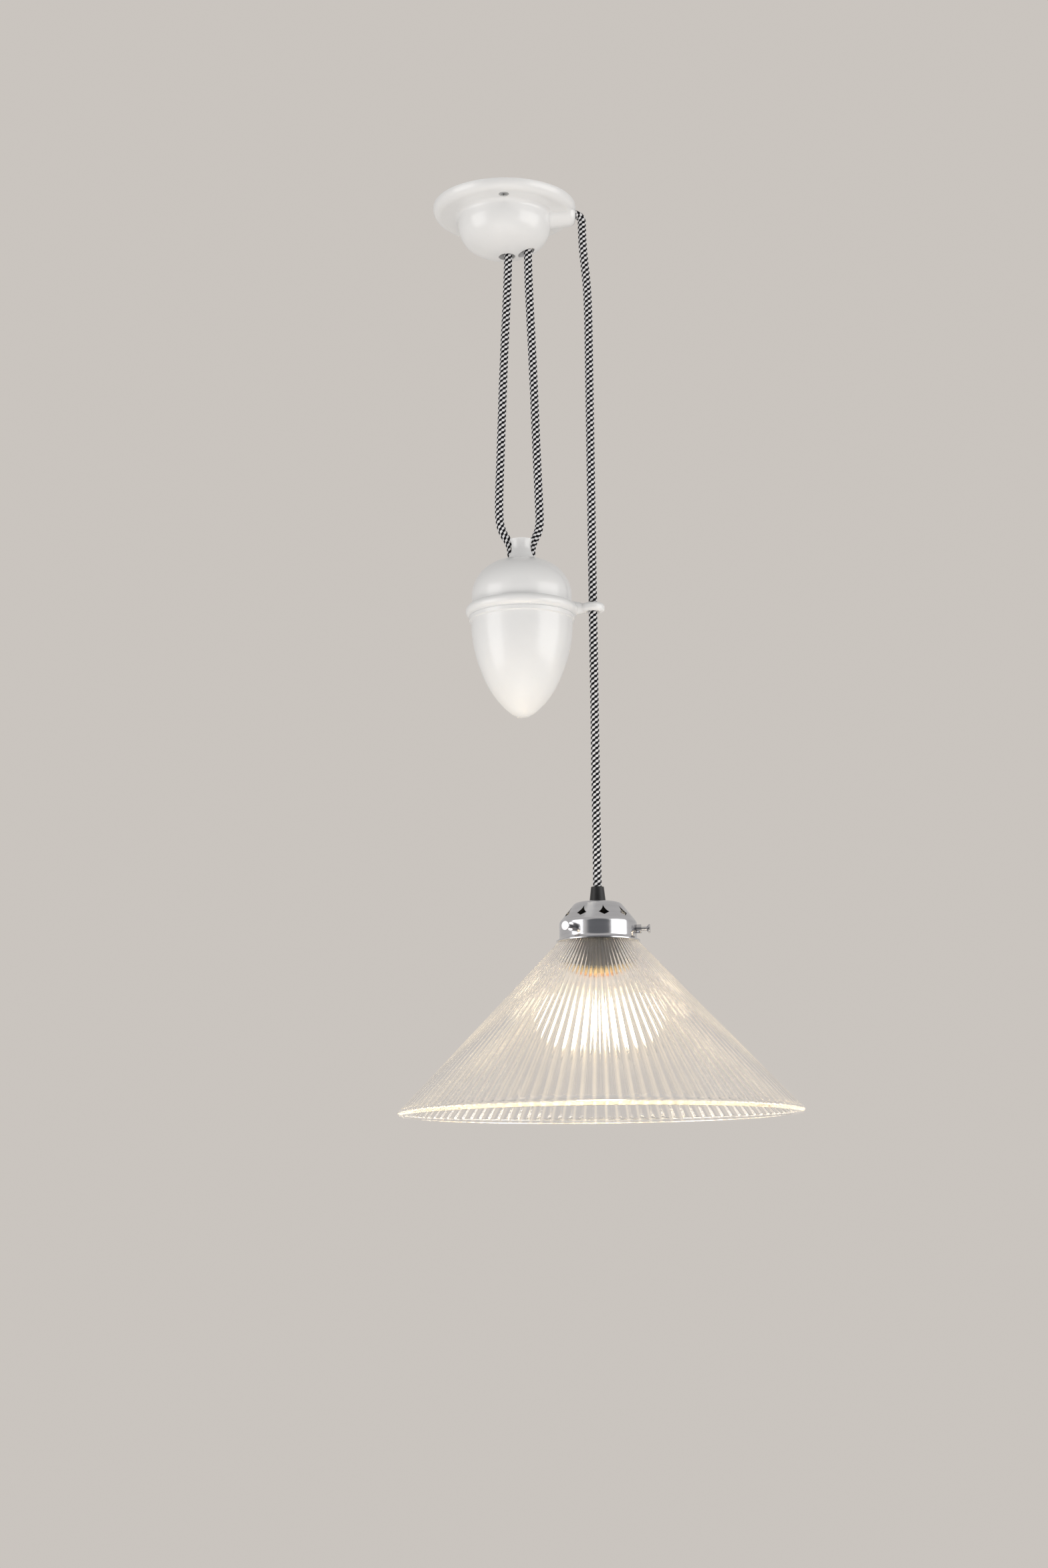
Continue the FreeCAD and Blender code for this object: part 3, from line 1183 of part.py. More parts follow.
def make_bulb():
    """Clear bulb: screw cap, glass, stem and filaments."""
    cap_top = holder_joint + insert_t + contact_t
    glass_top = cap_top + bulb_cap_h
    cap_inside = cap_top + 2 * bulb_cap_t
    cap = new_body("bulb_cap")
    revolve(cap, "BulbCapShell", [
        line(0, -cap_top),
        line(bulb_cap_r / 2, -cap_top),
        line(bulb_cap_r, -(cap_top + bulb_cap_end)),
        line(bulb_cap_r, -glass_top),
        line(bulb_cap_r - bulb_cap_t, -glass_top),
        line(bulb_cap_r - bulb_cap_t, -(cap_inside + bulb_cap_end)),
        line(bulb_cap_r / 2 - bulb_cap_t, -cap_inside),
        line(0, -cap_inside),
    ])
    hang_on_lamp(cap)
    globe = new_body("bulb_glass")
    wall = bulb_glass_t
    turn_out = bulb_neck_r + bulb_turn * (bulb_r - bulb_neck_r)
    turn_drop = bulb_neck + bulb_turn * (bulb_wide_drop - bulb_neck)
    bulb_low = bulb_wide_drop + bulb_r
    revolve(globe, "BulbGlassShell", [
        line(bulb_neck_r - wall, -glass_top),
        line(bulb_neck_r, -glass_top),
        line(bulb_neck_r, -bulb_neck),
        flow(turn_out, -turn_drop),
        flow(bulb_r, -bulb_wide_drop),
        flow(0, -bulb_low),
        line(0, -(bulb_low - wall)),
        arc(bulb_r - wall, -bulb_wide_drop, bulb_r - wall, 1),
        flow(turn_out - wall, -turn_drop),
        flow(bulb_neck_r - wall, -bulb_neck),
    ])
    hang_on_lamp(globe)
    named(cylinder("bulb_stem", stem_r, filament_low - cap_inside, lamp_x, 0, -(lamp_drop + filament_low)),
          "bulb_stem")
    filaments = []
    reach = stem_r + filament_r + seat_gap
    for mark, x, y in (("Right", 1, 0), ("Back", 0, 1), ("Left", -1, 0), ("Front", 0, -1)):
        filaments.append(cylinder("Filament" + mark, filament_r, filament_low - filament_top,
                                  lamp_x + reach * x, reach * y, -(lamp_drop + filament_low)))
    named(grouped("filaments", filaments), "filaments")


# ---------------------------------------------------------------------------------------------
# Flex: each stretch is a tube along straight runs joined by tangent arcs

def quarter(centre_x, centre_z, from_angle, to_angle):
    """Arc of the flex round a pulley or lip, from one direction to another, in degrees."""
    points = []
    for angle in (from_angle, (from_angle + to_angle) / 2, to_angle):
        turn = math.radians(angle)
        points.append(Vector(centre_x.value + turn_r.value * math.cos(turn), 0,
                             centre_z.value + turn_r.value * math.sin(turn)))
    return Part.Arc(*points).toShape()


def run(from_x, from_z, to_x, to_z):
    """Straight stretch of the flex."""
    start = Vector(from_x.value, 0, from_z.value)
    end = Vector(to_x.value, 0, to_z.value)
    return Part.LineSegment(start, end).toShape()


def make_flex(label, edges):
    """A round tube along the edges; its volume must be its section times its length."""
    path = Part.Wire(edges)
    start = path.OrderedVertexes[0].Point
    direction = path.OrderedEdges[0].tangentAt(path.OrderedEdges[0].FirstParameter)
    section = Part.Wire(Part.makeCircle(cord_r.value, start, direction))
    tube = path.makePipeShell([section], True, False)
    expected = math.pi * cord_r.value ** 2 * path.Length
    radii = [round(edge.Curve.Radius, 2) for edge in path.Edges if edge.Curve.TypeId == "Part::GeomCircle"]
    print(label, "length", round(path.Length, 1), "arc radii", radii,
          "volume against section x length", round(tube.Volume / expected, 5))
    piece = doc.addObject("Part::Feature", label)
    piece.Shape = tube
    named(piece, label)
    return path.Length


def make_flexes():
    """The whole flex in five stretches, from the clamp in the rose to the lamp's grip."""
    held_z = -(steel_t + clamp_cap)
    lamp_end_z = -(lamp_drop - (grip_up - grip_hold))
    total = make_flex("cord_anchor_strand", [run(anchor_x, held_z, anchor_x, -weight_drop)])
    total += make_flex("cord_weight_turn", [
        quarter(weight_x, -weight_drop, 180, 270),
        quarter(weight_x, -weight_drop, 270, 360),
    ])
    total += make_flex("cord_return_strand", [run(return_x, -weight_drop, return_x, -rose_pulley_drop)])
    total += make_flex("cord_rose_run", [
        quarter(rose_pulley_x, -rose_pulley_drop, 180, 90),
        run(rose_pulley_x, -run_drop, exit_turn_x, -run_drop),
        quarter(exit_turn_x, -rose_pulley_drop, 90, 0),
    ])
    total += make_flex("cord_lamp_strand", [run(lamp_x, -rose_pulley_drop, lamp_x, lamp_end_z)])
    print("flex, whole length", round(total, 1))


# ---------------------------------------------------------------------------------------------
# Everything, then the checks and the files

make_rose()
make_bracket()
make_cover_screws()
make_pulley("rose_pulley", rose_pulley_x, rose_pulley_drop)
make_rose_axle()
make_cord_clamp()
make_terminal_block()
make_weight_cap()
make_weight_ring()
make_acorn()
make_core()
make_weight_fixings()
make_tip_plug()
make_pulley("weight_pulley", weight_x, weight_drop)
make_grip_and_nipple()
make_gallery()
make_thumb_screws()
make_shade()
make_lampholder()
make_bulb()
make_flexes()
doc.recompute()

for item in doc.Objects:
    if "Invalid" in item.State or "Error" in item.State:
        raise RuntimeError(item.Name + " failed: " + str(item.State))
for piece in pieces:
    if piece.Shape.isNull() or not piece.Shape.isValid():
        raise RuntimeError(piece.Label + " has no sound shape")
for piece in pieces:
    piece.Shape.exportStep("parts/" + piece.Label + ".step")
    print(piece.Label, "solids", len(piece.Shape.Solids), "volume", round(piece.Shape.Volume, 1))
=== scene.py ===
"""Looks of the rise and fall pendant: camera, flex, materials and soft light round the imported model."""

import json
import math

import bpy
from mathutils import Matrix, Vector

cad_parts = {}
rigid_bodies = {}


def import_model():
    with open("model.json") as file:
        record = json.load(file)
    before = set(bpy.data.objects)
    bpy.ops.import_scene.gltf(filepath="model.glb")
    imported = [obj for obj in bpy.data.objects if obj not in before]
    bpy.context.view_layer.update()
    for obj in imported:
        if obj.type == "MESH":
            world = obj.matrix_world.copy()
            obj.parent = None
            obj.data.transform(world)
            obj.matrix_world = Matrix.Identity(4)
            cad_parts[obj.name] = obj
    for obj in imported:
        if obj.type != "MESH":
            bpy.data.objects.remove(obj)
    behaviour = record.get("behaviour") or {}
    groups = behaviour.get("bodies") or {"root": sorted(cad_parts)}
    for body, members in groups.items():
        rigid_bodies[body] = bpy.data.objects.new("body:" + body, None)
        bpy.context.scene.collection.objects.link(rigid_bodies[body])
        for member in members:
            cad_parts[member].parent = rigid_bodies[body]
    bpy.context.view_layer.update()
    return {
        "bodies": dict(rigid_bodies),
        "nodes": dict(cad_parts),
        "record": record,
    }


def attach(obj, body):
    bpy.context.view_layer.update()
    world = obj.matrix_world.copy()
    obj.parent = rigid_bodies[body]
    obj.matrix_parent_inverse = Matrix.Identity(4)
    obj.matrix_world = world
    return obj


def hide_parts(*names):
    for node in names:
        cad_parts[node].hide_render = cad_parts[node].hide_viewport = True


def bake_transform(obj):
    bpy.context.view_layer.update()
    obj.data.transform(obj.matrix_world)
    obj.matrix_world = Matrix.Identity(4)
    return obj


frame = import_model()
nodes = frame["nodes"]
MM = 0.001

# The lamp, in millimetres under the ceiling.
LAMP_X = 66.0
LAMP_Z = -562.7    # the level that the glass is drawn from
# painted glow: the glass ridges are given a warm emission from this level down to the rim
PAINTED_GLOW_Z = -590.0    # the ridges glow from here to the rim
BULB_Z = -655.0    # the middle of the bulb
RIM_Z = -723.0
RIBS = 104


# ---------------------------------------------------------------------------------------------
# Camera

def make_camera():
    """The photograph's view: below the lamp, looking up, with the camera turned a little."""
    data = bpy.data.cameras.new("ViewCamera")
    data.lens = 55
    data.sensor_width = 36
    data.clip_start = 0.05
    data.clip_end = 100
    camera = bpy.data.objects.new("ViewCamera", data)
    bpy.context.scene.collection.objects.link(camera)
    upward = 10.5
    lean = -0.6
    tilt = Matrix.Rotation(math.radians(90 + upward), 4, "X")
    roll = Matrix.Rotation(math.radians(lean), 4, "Z")
    camera.location = (0.0110, -1.806, -0.805)
    camera.rotation_euler = (tilt @ roll).to_euler()
    bpy.context.scene.camera = camera


make_camera()


# ---------------------------------------------------------------------------------------------
# Node helpers

def new_material(name):
    material = bpy.data.materials.new(name)
    material.use_nodes = True
    return material, material.node_tree, material.node_tree.nodes["Principled BSDF"]


def add(tree, kind, inputs=None, **settings):
    """A node with its settings; an input is a number, a colour or another node's socket."""
    node = tree.nodes.new(kind)
    for key, value in settings.items():
        setattr(node, key, value)
    for key, value in (inputs or {}).items():
        if isinstance(value, bpy.types.NodeSocket):
            tree.links.new(value, node.inputs[key])
        else:
            node.inputs[key].default_value = value
    return node


def maths(tree, operation, first, second=0.0):
    return add(tree, "ShaderNodeMath", {0: first, 1: second}, operation=operation).outputs[0]


def object_place(tree, stretch=(1, 1, 1)):
    """The piece's own coordinates in metres, with an optional stretch."""
    place = add(tree, "ShaderNodeTexCoord").outputs["Object"]
    return add(tree, "ShaderNodeMapping", {"Vector": place, "Scale": stretch}).outputs[0]


def noise(tree, place, scale, detail=3.0, roughness=0.5):
    inputs = {"Vector": place, "Scale": scale, "Detail": detail, "Roughness": roughness}
    return add(tree, "ShaderNodeTexNoise", inputs).outputs[0]


def ramp(tree, factor, stops):
    """A colour ramp through (position, colour) stops."""
    node = add(tree, "ShaderNodeValToRGB", {0: factor})
    points = node.color_ramp.elements
    while len(points) < len(stops):
        points.new(0.5)
    for point, (position, colour) in zip(points, stops):
        point.position = position
        point.color = (*colour, 1)
    return node.outputs[0]


def spread(tree, factor, low, high):
    """A factor taken to the range low to high."""
    inputs = {"Value": factor, "To Min": low, "To Max": high}
    return add(tree, "ShaderNodeMapRange", inputs).outputs[0]


def bump(tree, height, distance, strength=1.0, normal=None):
    inputs = {"Height": height, "Distance": distance, "Strength": strength}
    if normal:
        inputs["Normal"] = normal
    return add(tree, "ShaderNodeBump", inputs).outputs[0]


def multiply(tree, one, other):
    """Two colours multiplied."""
    node = add(tree, "ShaderNodeMix", {"Factor": 1.0}, data_type="RGBA", blend_type="MULTIPLY")
    colours = [item for item in node.inputs if item.type == "RGBA"]
    tree.links.new(one, colours[0])
    tree.links.new(other, colours[1])
    return [item for item in node.outputs if item.type == "RGBA"][0]


def connect(tree, shader, colour=None, roughness=None, normal=None):
    for socket, source in (("Base Color", colour), ("Roughness", roughness), ("Normal", normal)):
        if source:
            tree.links.new(source, shader.inputs[socket])


# ---------------------------------------------------------------------------------------------
# Materials

def glaze_material():
    """White glaze: bright, glossy, a little uneven, as a dipped ceramic is."""
    material, tree, shader = new_material("WhiteGlaze")
    place = object_place(tree)
    cloud = noise(tree, place, 22, 4)
    colour = ramp(tree, cloud, [(0.3, (0.82, 0.82, 0.825)), (0.7, (0.865, 0.867, 0.87))])
    speck = noise(tree, place, 900, 2)
    dots = ramp(tree, speck, [(0.74, (1, 1, 1)), (0.80, (0.80, 0.78, 0.74))])
    peel = noise(tree, place, 260, 2)
    swell = noise(tree, place, 45, 2)
    normal = bump(tree, peel, 0.00002, 0.6, bump(tree, swell, 0.0002, 0.35))
    connect(tree, shader, multiply(tree, colour, dots), spread(tree, cloud, 0.28, 0.38), normal)
    shader.inputs["IOR"].default_value = 1.55
    shader.inputs["Coat Weight"].default_value = 0.8
    shader.inputs["Coat Roughness"].default_value = 0.15
    return material


def metal_material(name, dark, light, rough_low, rough_high, scale, stretch=(1, 1, 1), depth=0.00001):
    """Metal whose tone, shine and surface vary together."""
    material, tree, shader = new_material(name)
    place = object_place(tree, stretch)
    cloud = noise(tree, place, scale, 5, 0.6)
    fine = noise(tree, place, scale * 6, 2)
    connect(tree, shader, ramp(tree, cloud, [(0.3, dark), (0.7, light)]),
            spread(tree, cloud, rough_low, rough_high), bump(tree, fine, depth, 0.6))
    shader.inputs["Metallic"].default_value = 1.0
    return material


def plain_material(name, dark, light, rough_low, rough_high, scale, depth):
    """Plastic, unglazed ceramic and the like: a soft mottle and a fine grain."""
    material, tree, shader = new_material(name)
    place = object_place(tree)
    cloud = noise(tree, place, scale, 4)
    grain = noise(tree, place, scale * 25, 2)
    connect(tree, shader, ramp(tree, cloud, [(0.3, dark), (0.7, light)]),
            spread(tree, grain, rough_low, rough_high), bump(tree, grain, depth, 0.7))
    return material


def glass_material(name, dark, light, rough_low, rough_high, ior, wave):
    """Clear glass with the faint waves and haze of pressing or blowing."""
    material, tree, shader = new_material(name)
    place = object_place(tree)
    cloud = noise(tree, place, 18, 3)
    waves = noise(tree, place, 70, 2)
    connect(tree, shader, ramp(tree, cloud, [(0.3, dark), (0.7, light)]),
            spread(tree, cloud, rough_low, rough_high), bump(tree, waves, wave, 0.5))
    shader.inputs["Transmission Weight"].default_value = 1.0
    shader.inputs["IOR"].default_value = ior
    return material


def ribbed_glass_material():
    """Pressed glass with a painted glow: a warm emission along its ridges, most of all beside the bulb, stands in
    for the bulb's light that the ribs pick up.
    """
    material = glass_material("RibbedGlass", (0.945, 0.940, 0.945), (0.975, 0.970, 0.975),
                              0.05, 0.10, 1.5, 0.00008)
    tree = material.node_tree
    shader = tree.nodes["Principled BSDF"]
    place = add(tree, "ShaderNodeTexCoord").outputs["Object"]
    parts = add(tree, "ShaderNodeSeparateXYZ", {0: place})
    sideways = maths(tree, "SUBTRACT", parts.outputs["X"], LAMP_X * MM)
    turn = maths(tree, "ARCTAN2", sideways, maths(tree, "MULTIPLY", parts.outputs["Y"], -1))
    along_rim = maths(tree, "ADD", maths(tree, "MULTIPLY", turn, RIBS / (2 * math.pi)), 0.5)
    within = maths(tree, "FLOORED_MODULO", along_rim, 1)
    off_ridge = maths(tree, "ABSOLUTE", maths(tree, "SUBTRACT", within, 0.5))
    # painted glow: a mask on the ridges, where the glass is made to emit light
    ridge = add(tree, "ShaderNodeMapRange",
                {"Value": off_ridge, "From Min": 0.04, "From Max": 0.18, "To Min": 1.0, "To Max": 0.0},
                interpolation_type="SMOOTHSTEP").outputs[0]
    depth = add(tree, "ShaderNodeMapRange",
                {"Value": parts.outputs["Z"], "From Min": PAINTED_GLOW_Z * MM, "From Max": RIM_Z * MM}).outputs[0]
    # painted glow colour: none at the top, warmest beside the bulb, a little less towards the rim
    tone = ramp(tree, depth, [(0.10, (0, 0, 0)), (0.45, (0.150, 0.117, 0.066)), (0.62, (0.150, 0.118, 0.068)),
                              (0.80, (0.100, 0.080, 0.048)), (1.0, (0.110, 0.090, 0.056))])
    # painted glow, made patchy
    patchy_glow = spread(tree, noise(tree, object_place(tree, (1, 1, 0.4)), 60, 2), 0.4, 1.6)
    tree.links.new(maths(tree, "MULTIPLY", ridge, patchy_glow), shader.inputs["Emission Strength"])
    tree.links.new(tone, shader.inputs["Emission Color"])
    material.cycles.emission_sampling = "NONE"
    return material


def filament_material():
    """Glowing filament, a little brighter in places."""
    material, tree, shader = new_material("Filament")
    place = object_place(tree)
    cloud = noise(tree, place, 300, 2)
    glow = ramp(tree, cloud, [(0.3, (1.0, 0.66, 0.30)), (0.7, (1.0, 0.80, 0.50))])
    connect(tree, shader, glow)
    tree.links.new(glow, shader.inputs["Emission Color"])
    shader.inputs["Emission Strength"].default_value = 60.0
    return material


def flex_material():
    """Black and white checked braid: eight columns of slanting floats, each half a check on from the last, with
    painted shade in the dips between the floats.
    """
    material, tree, shader = new_material("BraidedFlex")
    columns = 8
    check = 4.05 * MM
    slant = 0.24
    yarns = 3
    place = add(tree, "ShaderNodeUVMap", uv_map="Flex").outputs[0]
    parts = add(tree, "ShaderNodeSeparateXYZ", {0: place})
    around = maths(tree, "MULTIPLY", parts.outputs["X"], columns)
    column = maths(tree, "FLOOR", around)
    across = maths(tree, "SUBTRACT", maths(tree, "SUBTRACT", around, column), 0.5)
    along = maths(tree, "DIVIDE", parts.outputs["Y"], check)
    lifted = maths(tree, "SUBTRACT", along, maths(tree, "MULTIPLY", column, 0.5))
    lifted = maths(tree, "SUBTRACT", lifted, maths(tree, "MULTIPLY", across, slant))
    fibre = noise(tree, object_place(tree, (1, 1, 0.3)), 3000, 2)
    ragged = maths(tree, "ADD", lifted, spread(tree, fibre, -0.02, 0.02))
    cell = maths(tree, "MULTIPLY", ragged, 2)
    number = maths(tree, "FLOOR", cell)
    within = maths(tree, "SUBTRACT", maths(tree, "SUBTRACT", cell, number), 0.5)
    dark = maths(tree, "FLOORED_MODULO", number, 2)
    across_arch = maths(tree, "COSINE", maths(tree, "MULTIPLY", across, math.pi))
    along_arch = maths(tree, "COSINE", maths(tree, "MULTIPLY", within, math.pi))
    turn = maths(tree, "MULTIPLY", within, 2 * math.pi * yarns)
    yarn_arch = spread(tree, maths(tree, "COSINE", turn), 0.85, 1.0)
    height = maths(tree, "MULTIPLY", maths(tree, "POWER", across_arch, 0.5), maths(tree, "POWER", along_arch, 0.6))
    height = maths(tree, "MULTIPLY", height, yarn_arch)
    yarn = ramp(tree, dark, [(0.35, (0.84, 0.83, 0.84)), (0.65, (0.004, 0.004, 0.006))])
    # painted shade: the yarn colour is darkened where the floats dip, between them and at their ends
    shade = ramp(tree, height, [(0.05, (0.32, 0.32, 0.34)), (0.5, (1, 1, 1))])
    normal = bump(tree, fibre, 0.00004, 0.3, bump(tree, height, 0.0003, 0.8))
    connect(tree, shader, multiply(tree, yarn, shade), spread(tree, fibre, 0.75, 0.95), normal)
    shader.inputs["Specular IOR Level"].default_value = 0.2
    return material


SLOT_MATERIALS = {
    "white_glaze": glaze_material(),
    "plated_steel": metal_material("PlatedSteel", (0.42, 0.42, 0.40), (0.56, 0.57, 0.60), 0.24, 0.42, 60),
    "bright_chrome": metal_material("BrightChrome", (0.46, 0.45, 0.46), (0.60, 0.60, 0.62), 0.10, 0.18, 80),
    "spun_aluminium": metal_material("SpunAluminium", (0.56, 0.57, 0.60), (0.66, 0.67, 0.70), 0.13, 0.20, 16,
                                     (0.25, 0.25, 14), 0.000004),
    "pulley_plastic": plain_material("PulleyNylon", (0.66, 0.64, 0.58), (0.74, 0.72, 0.67), 0.35, 0.5, 70, 0.00003),
    "pale_plastic": plain_material("PalePlastic", (0.68, 0.67, 0.63), (0.76, 0.75, 0.72), 0.3, 0.45, 60, 0.00002),
    "brass": metal_material("Brass", (0.60, 0.42, 0.16), (0.76, 0.58, 0.28), 0.16, 0.32, 90),
    "iron": metal_material("CastIron", (0.035, 0.033, 0.032), (0.09, 0.085, 0.08), 0.5, 0.75, 110,
                           (1, 1, 1), 0.0001),
    "black_plastic": plain_material("BlackPlastic", (0.008, 0.008, 0.009), (0.016, 0.016, 0.018), 0.36, 0.52, 90,
                                    0.00003),
    "plain_ceramic": plain_material("PlainCeramic", (0.70, 0.67, 0.60), (0.80, 0.77, 0.71), 0.6, 0.85, 50, 0.00006),
    "ribbed_glass": ribbed_glass_material(),
    "bulb_glass": glass_material("BulbGlass", (0.98, 0.975, 0.96), (1.0, 0.995, 0.985), 0.0, 0.01, 1.46, 0.00005),
    "filament": filament_material(),
    "braided_flex": flex_material(),
}


def dress_nodes():
    """Every carried-over piece takes the finish of its slot in the record."""
    for part in frame["record"]["subparts"]:
        piece = nodes[part["node"]]
        piece.data.materials.clear()
        piece.data.materials.append(SLOT_MATERIALS[part["material_slot"]])


dress_nodes()


# ---------------------------------------------------------------------------------------------
# Flex

# In millimetres.
FLEX_R = 3.25
CLAMP_X = 3.0      # the strand that hangs from the cord clamp
FALL_X = 18.5      # the strand that comes down from the rose's pulley
RUN_Z = -6.0       # the level of the clamp and of the run through the rose
TURN_Z = -292.75   # the foot of the turn round the weight's pulley


def follow(name, route):
    """Points along the NURBS spline whose control points are the route's (x, z), in millimetres."""
    data = bpy.data.curves.new(name + "Route", "CURVE")
    data.dimensions = "3D"
    data.resolution_u = 20
    spline = data.splines.new("NURBS")
    spline.points.add(len(route) - 1)
    for point, (x, z) in zip(spline.points, route):
        point.co = (x * MM, 0, z * MM, 1)
    spline.order_u = 3
    spline.use_endpoint_u = True
    holder = bpy.data.objects.new(name + "Route", data)
    bpy.context.scene.collection.objects.link(holder)
    line = bpy.data.meshes.new_from_object(holder)
    points = [vertex.co.copy() for vertex in line.vertices]
    bpy.data.objects.remove(holder)
    return points


def make_flex(name, route, replaced):
    """A braided tube along the route of (x, z) points, with its length and girth in a UV map for the braid."""
    sides = 24
    radius = FLEX_R * MM
    points = follow(name, route)
    lengths = [0.0]
    for one, other in zip(points, points[1:]):
        lengths.append(lengths[-1] + (other - one).length)
    corners = []
    outward = Vector((0, -1, 0))
    for index, point in enumerate(points):
        before = points[max(index - 1, 0)]
        after = points[min(index + 1, len(points) - 1)]
        along = (after - before).normalized()
        outward = (outward - along * outward.dot(along)).normalized()
        sideways = along.cross(outward)
        for side in range(sides):
            turn = 2 * math.pi * side / sides
            corners.append(point + (outward * math.cos(turn) + sideways * math.sin(turn)) * radius)
    faces = []
    places = []
    for index in range(len(points) - 1):
        for side in range(sides):
            after = (side + 1) % sides
            low = index * sides
            high = low + sides
            faces.append((low + side, low + after, high + after, high + side))
            for step, row in ((side, index), (side + 1, index), (side + 1, index + 1), (side, index + 1)):
                places.append((step / sides, lengths[row]))
    for ring, row in ((range(sides - 1, -1, -1), 0), (range(sides), len(points) - 1)):
        faces.append([row * sides + side for side in ring])
        places.extend((side / sides, lengths[row]) for side in ring)
    mesh = bpy.data.meshes.new(name)
    mesh.from_pydata(corners, [], faces)
    layer = mesh.uv_layers.new(name="Flex")
    for loop, place in zip(layer.data, places):
        loop.uv = place
    for face in mesh.polygons:
        face.use_smooth = len(face.vertices) == 4
    mesh.materials.append(SLOT_MATERIALS["braided_flex"])
    tube = bpy.data.objects.new(name, mesh)
    bpy.context.scene.collection.objects.link(tube)
    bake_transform(tube)
    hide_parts(*replaced)


def make_both_flexes():
    """The loop that carries the weight, from the clamp, and the strand that goes on to the lamp."""
    loop = [(CLAMP_X, RUN_Z), (CLAMP_X, -30), (2.2, -62), (-1.6, -130), (-4.6, -205), (-6.6, -250),
            (-5.4, -268), (CLAMP_X, -281), (CLAMP_X, TURN_Z), (FALL_X, TURN_Z), (FALL_X, -281), (25.6, -268),
            (25.2, -250), (23.6, -205), (21.4, -130), (18.7, -62), (FALL_X, -30), (FALL_X, -13.75)]
    drop = [(FALL_X, -13.75), (FALL_X, RUN_Z), (32, RUN_Z), (46.5, RUN_Z), (62, RUN_Z), (62, -21.5),
            (62.6, -38), (65.3, -66), (65.9, -88), (LAMP_X, -110), (LAMP_X, -400), (LAMP_X, -500),
            (LAMP_X, -557.6)]
    make_flex("flex_loop", loop,
              ("cord_anchor_strand", "cord_weight_turn", "cord_return_strand"))
    make_flex("flex_drop", drop,
              ("cord_rose_run", "cord_lamp_strand"))


make_both_flexes()


# ---------------------------------------------------------------------------------------------
# Screw heads with their recess, and the pressed glass with rounded ridges and a rounded rim

def glass_outline():
    """Closed outline of the glass from the neck down the outside and back: radius, drop, share of the ribs."""
    rim = Vector((152.5, 157.3))
    cone_top = Vector((30.0, 29.2))
    thick = 4.8
    corner_r = 1.7
    plain_rim = 3.0
    inner_plain = 2.4
    half_slope = math.atan2(rim.x - cone_top.x, rim.y - cone_top.y)
    down = Vector((math.sin(half_slope), math.cos(half_slope)))
    out = Vector((down.y, -down.x))
    rows = [(23.4, 15.6, 0), (26.9, 15.6, 0), (27.65, 15.85, 0), (27.9, 16.5, 0), (27.9, 18.1, 0),
            (27.65, 18.75, 0), (27.0, 19.0, 0), (26.4, 19.15, 0), (26.2, 19.6, 0), (26.2, 25.0, 0),
            (26.5, 25.9, 0), (28.9, 28.4, 0), (29.8, 29.1, 0.5)]
    rib_end = rim - down * plain_rim
    for share in (0, 0.03, 0.07, 0.12, 0.2, 0.3, 0.4, 0.5, 0.6, 0.7, 0.8, 0.9, 0.97, 1.0):
        rows.append((*cone_top.lerp(rib_end, share), 1))
    for distance, share in ((0.35, 0.55), (0.6, 0.1), (0.9, 0)):
        rows.append((*(rib_end + down * distance), share))
    for corner, side in ((rim, 1), (rim - out * thick, -1)):
        centre = corner - down * corner_r - out * (corner_r * side)
        for step in range(7):
            turn = math.radians(15 * step) if side > 0 else math.radians(90 - 15 * step)
            rows.append((*(centre + (out * side * math.cos(turn) + down * math.sin(turn)) * corner_r), 0))
    foot = rim - out * thick - down * inner_plain
    head = Vector((cone_top.x - thick / math.cos(half_slope), cone_top.y))
    for share in (0, 0.1, 0.25, 0.4, 0.55, 0.7, 0.82, 0.92, 1.0):
        rows.append((*foot.lerp(head, share), 0))
    rows.append((23.0, 27.0, 0))
    rows.append((23.0, 16.0, 0))
    return rows


def rib_columns(radius, share):
    """Angles across one rib, from its ridge, and how far the glass falls below the plain cone at each.

    The ridge and the valley are rounded over the half widths of that name.
    """
    depth_ratio = 0.02023
    pitch = 2 * math.pi * radius / RIBS
    half = pitch / 2
    slope = radius * depth_ratio / half
    ridge = min(1.4, 0.3 * pitch)
    valley = min(0.5, 0.12 * pitch)
    columns = []
    for place in (0, ridge / 2, ridge, half - valley, half):
        fall = slope * place
        if place <= ridge:
            fall = slope * (ridge / 2 + place * place / (2 * ridge))
        elif place == half:
            fall = slope * (half - valley / 2)
        columns.append((place / radius, fall * share))
    mirrored = [(pitch / radius - angle, fall) for angle, fall in columns[3:0:-1]]
    return columns + mirrored


def make_shade():
    """The glass as one closed skin, a row of corners for each point of its outline."""
    corners = []
    outline = glass_outline()
    for radius, drop, share in outline:
        columns = rib_columns(radius, share)
        for rib in range(RIBS):
            for angle, fall in columns:
                turn = 2 * math.pi * rib / RIBS + angle
                reach = radius - fall
                corners.append(((LAMP_X + reach * math.sin(turn)) * MM, -reach * math.cos(turn) * MM,
                                (LAMP_Z - drop) * MM))
    per_row = len(corners) // len(outline)
    faces = []
    for row in range(len(outline)):
        under = (row + 1) % len(outline)
        for column in range(per_row):
            after = (column + 1) % per_row
            faces.append((row * per_row + column, under * per_row + column,
                          under * per_row + after, row * per_row + after))
    mesh = bpy.data.meshes.new("shade_glass")
    mesh.from_pydata(corners, [], faces)
    for face in mesh.polygons:
        face.use_smooth = True
    mesh.materials.append(SLOT_MATERIALS["ribbed_glass"])
    shade = bpy.data.objects.new("shade_glass", mesh)
    bpy.context.scene.collection.objects.link(shade)
    shade.visible_shadow = False
    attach(shade, "lamp")
    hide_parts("shade")


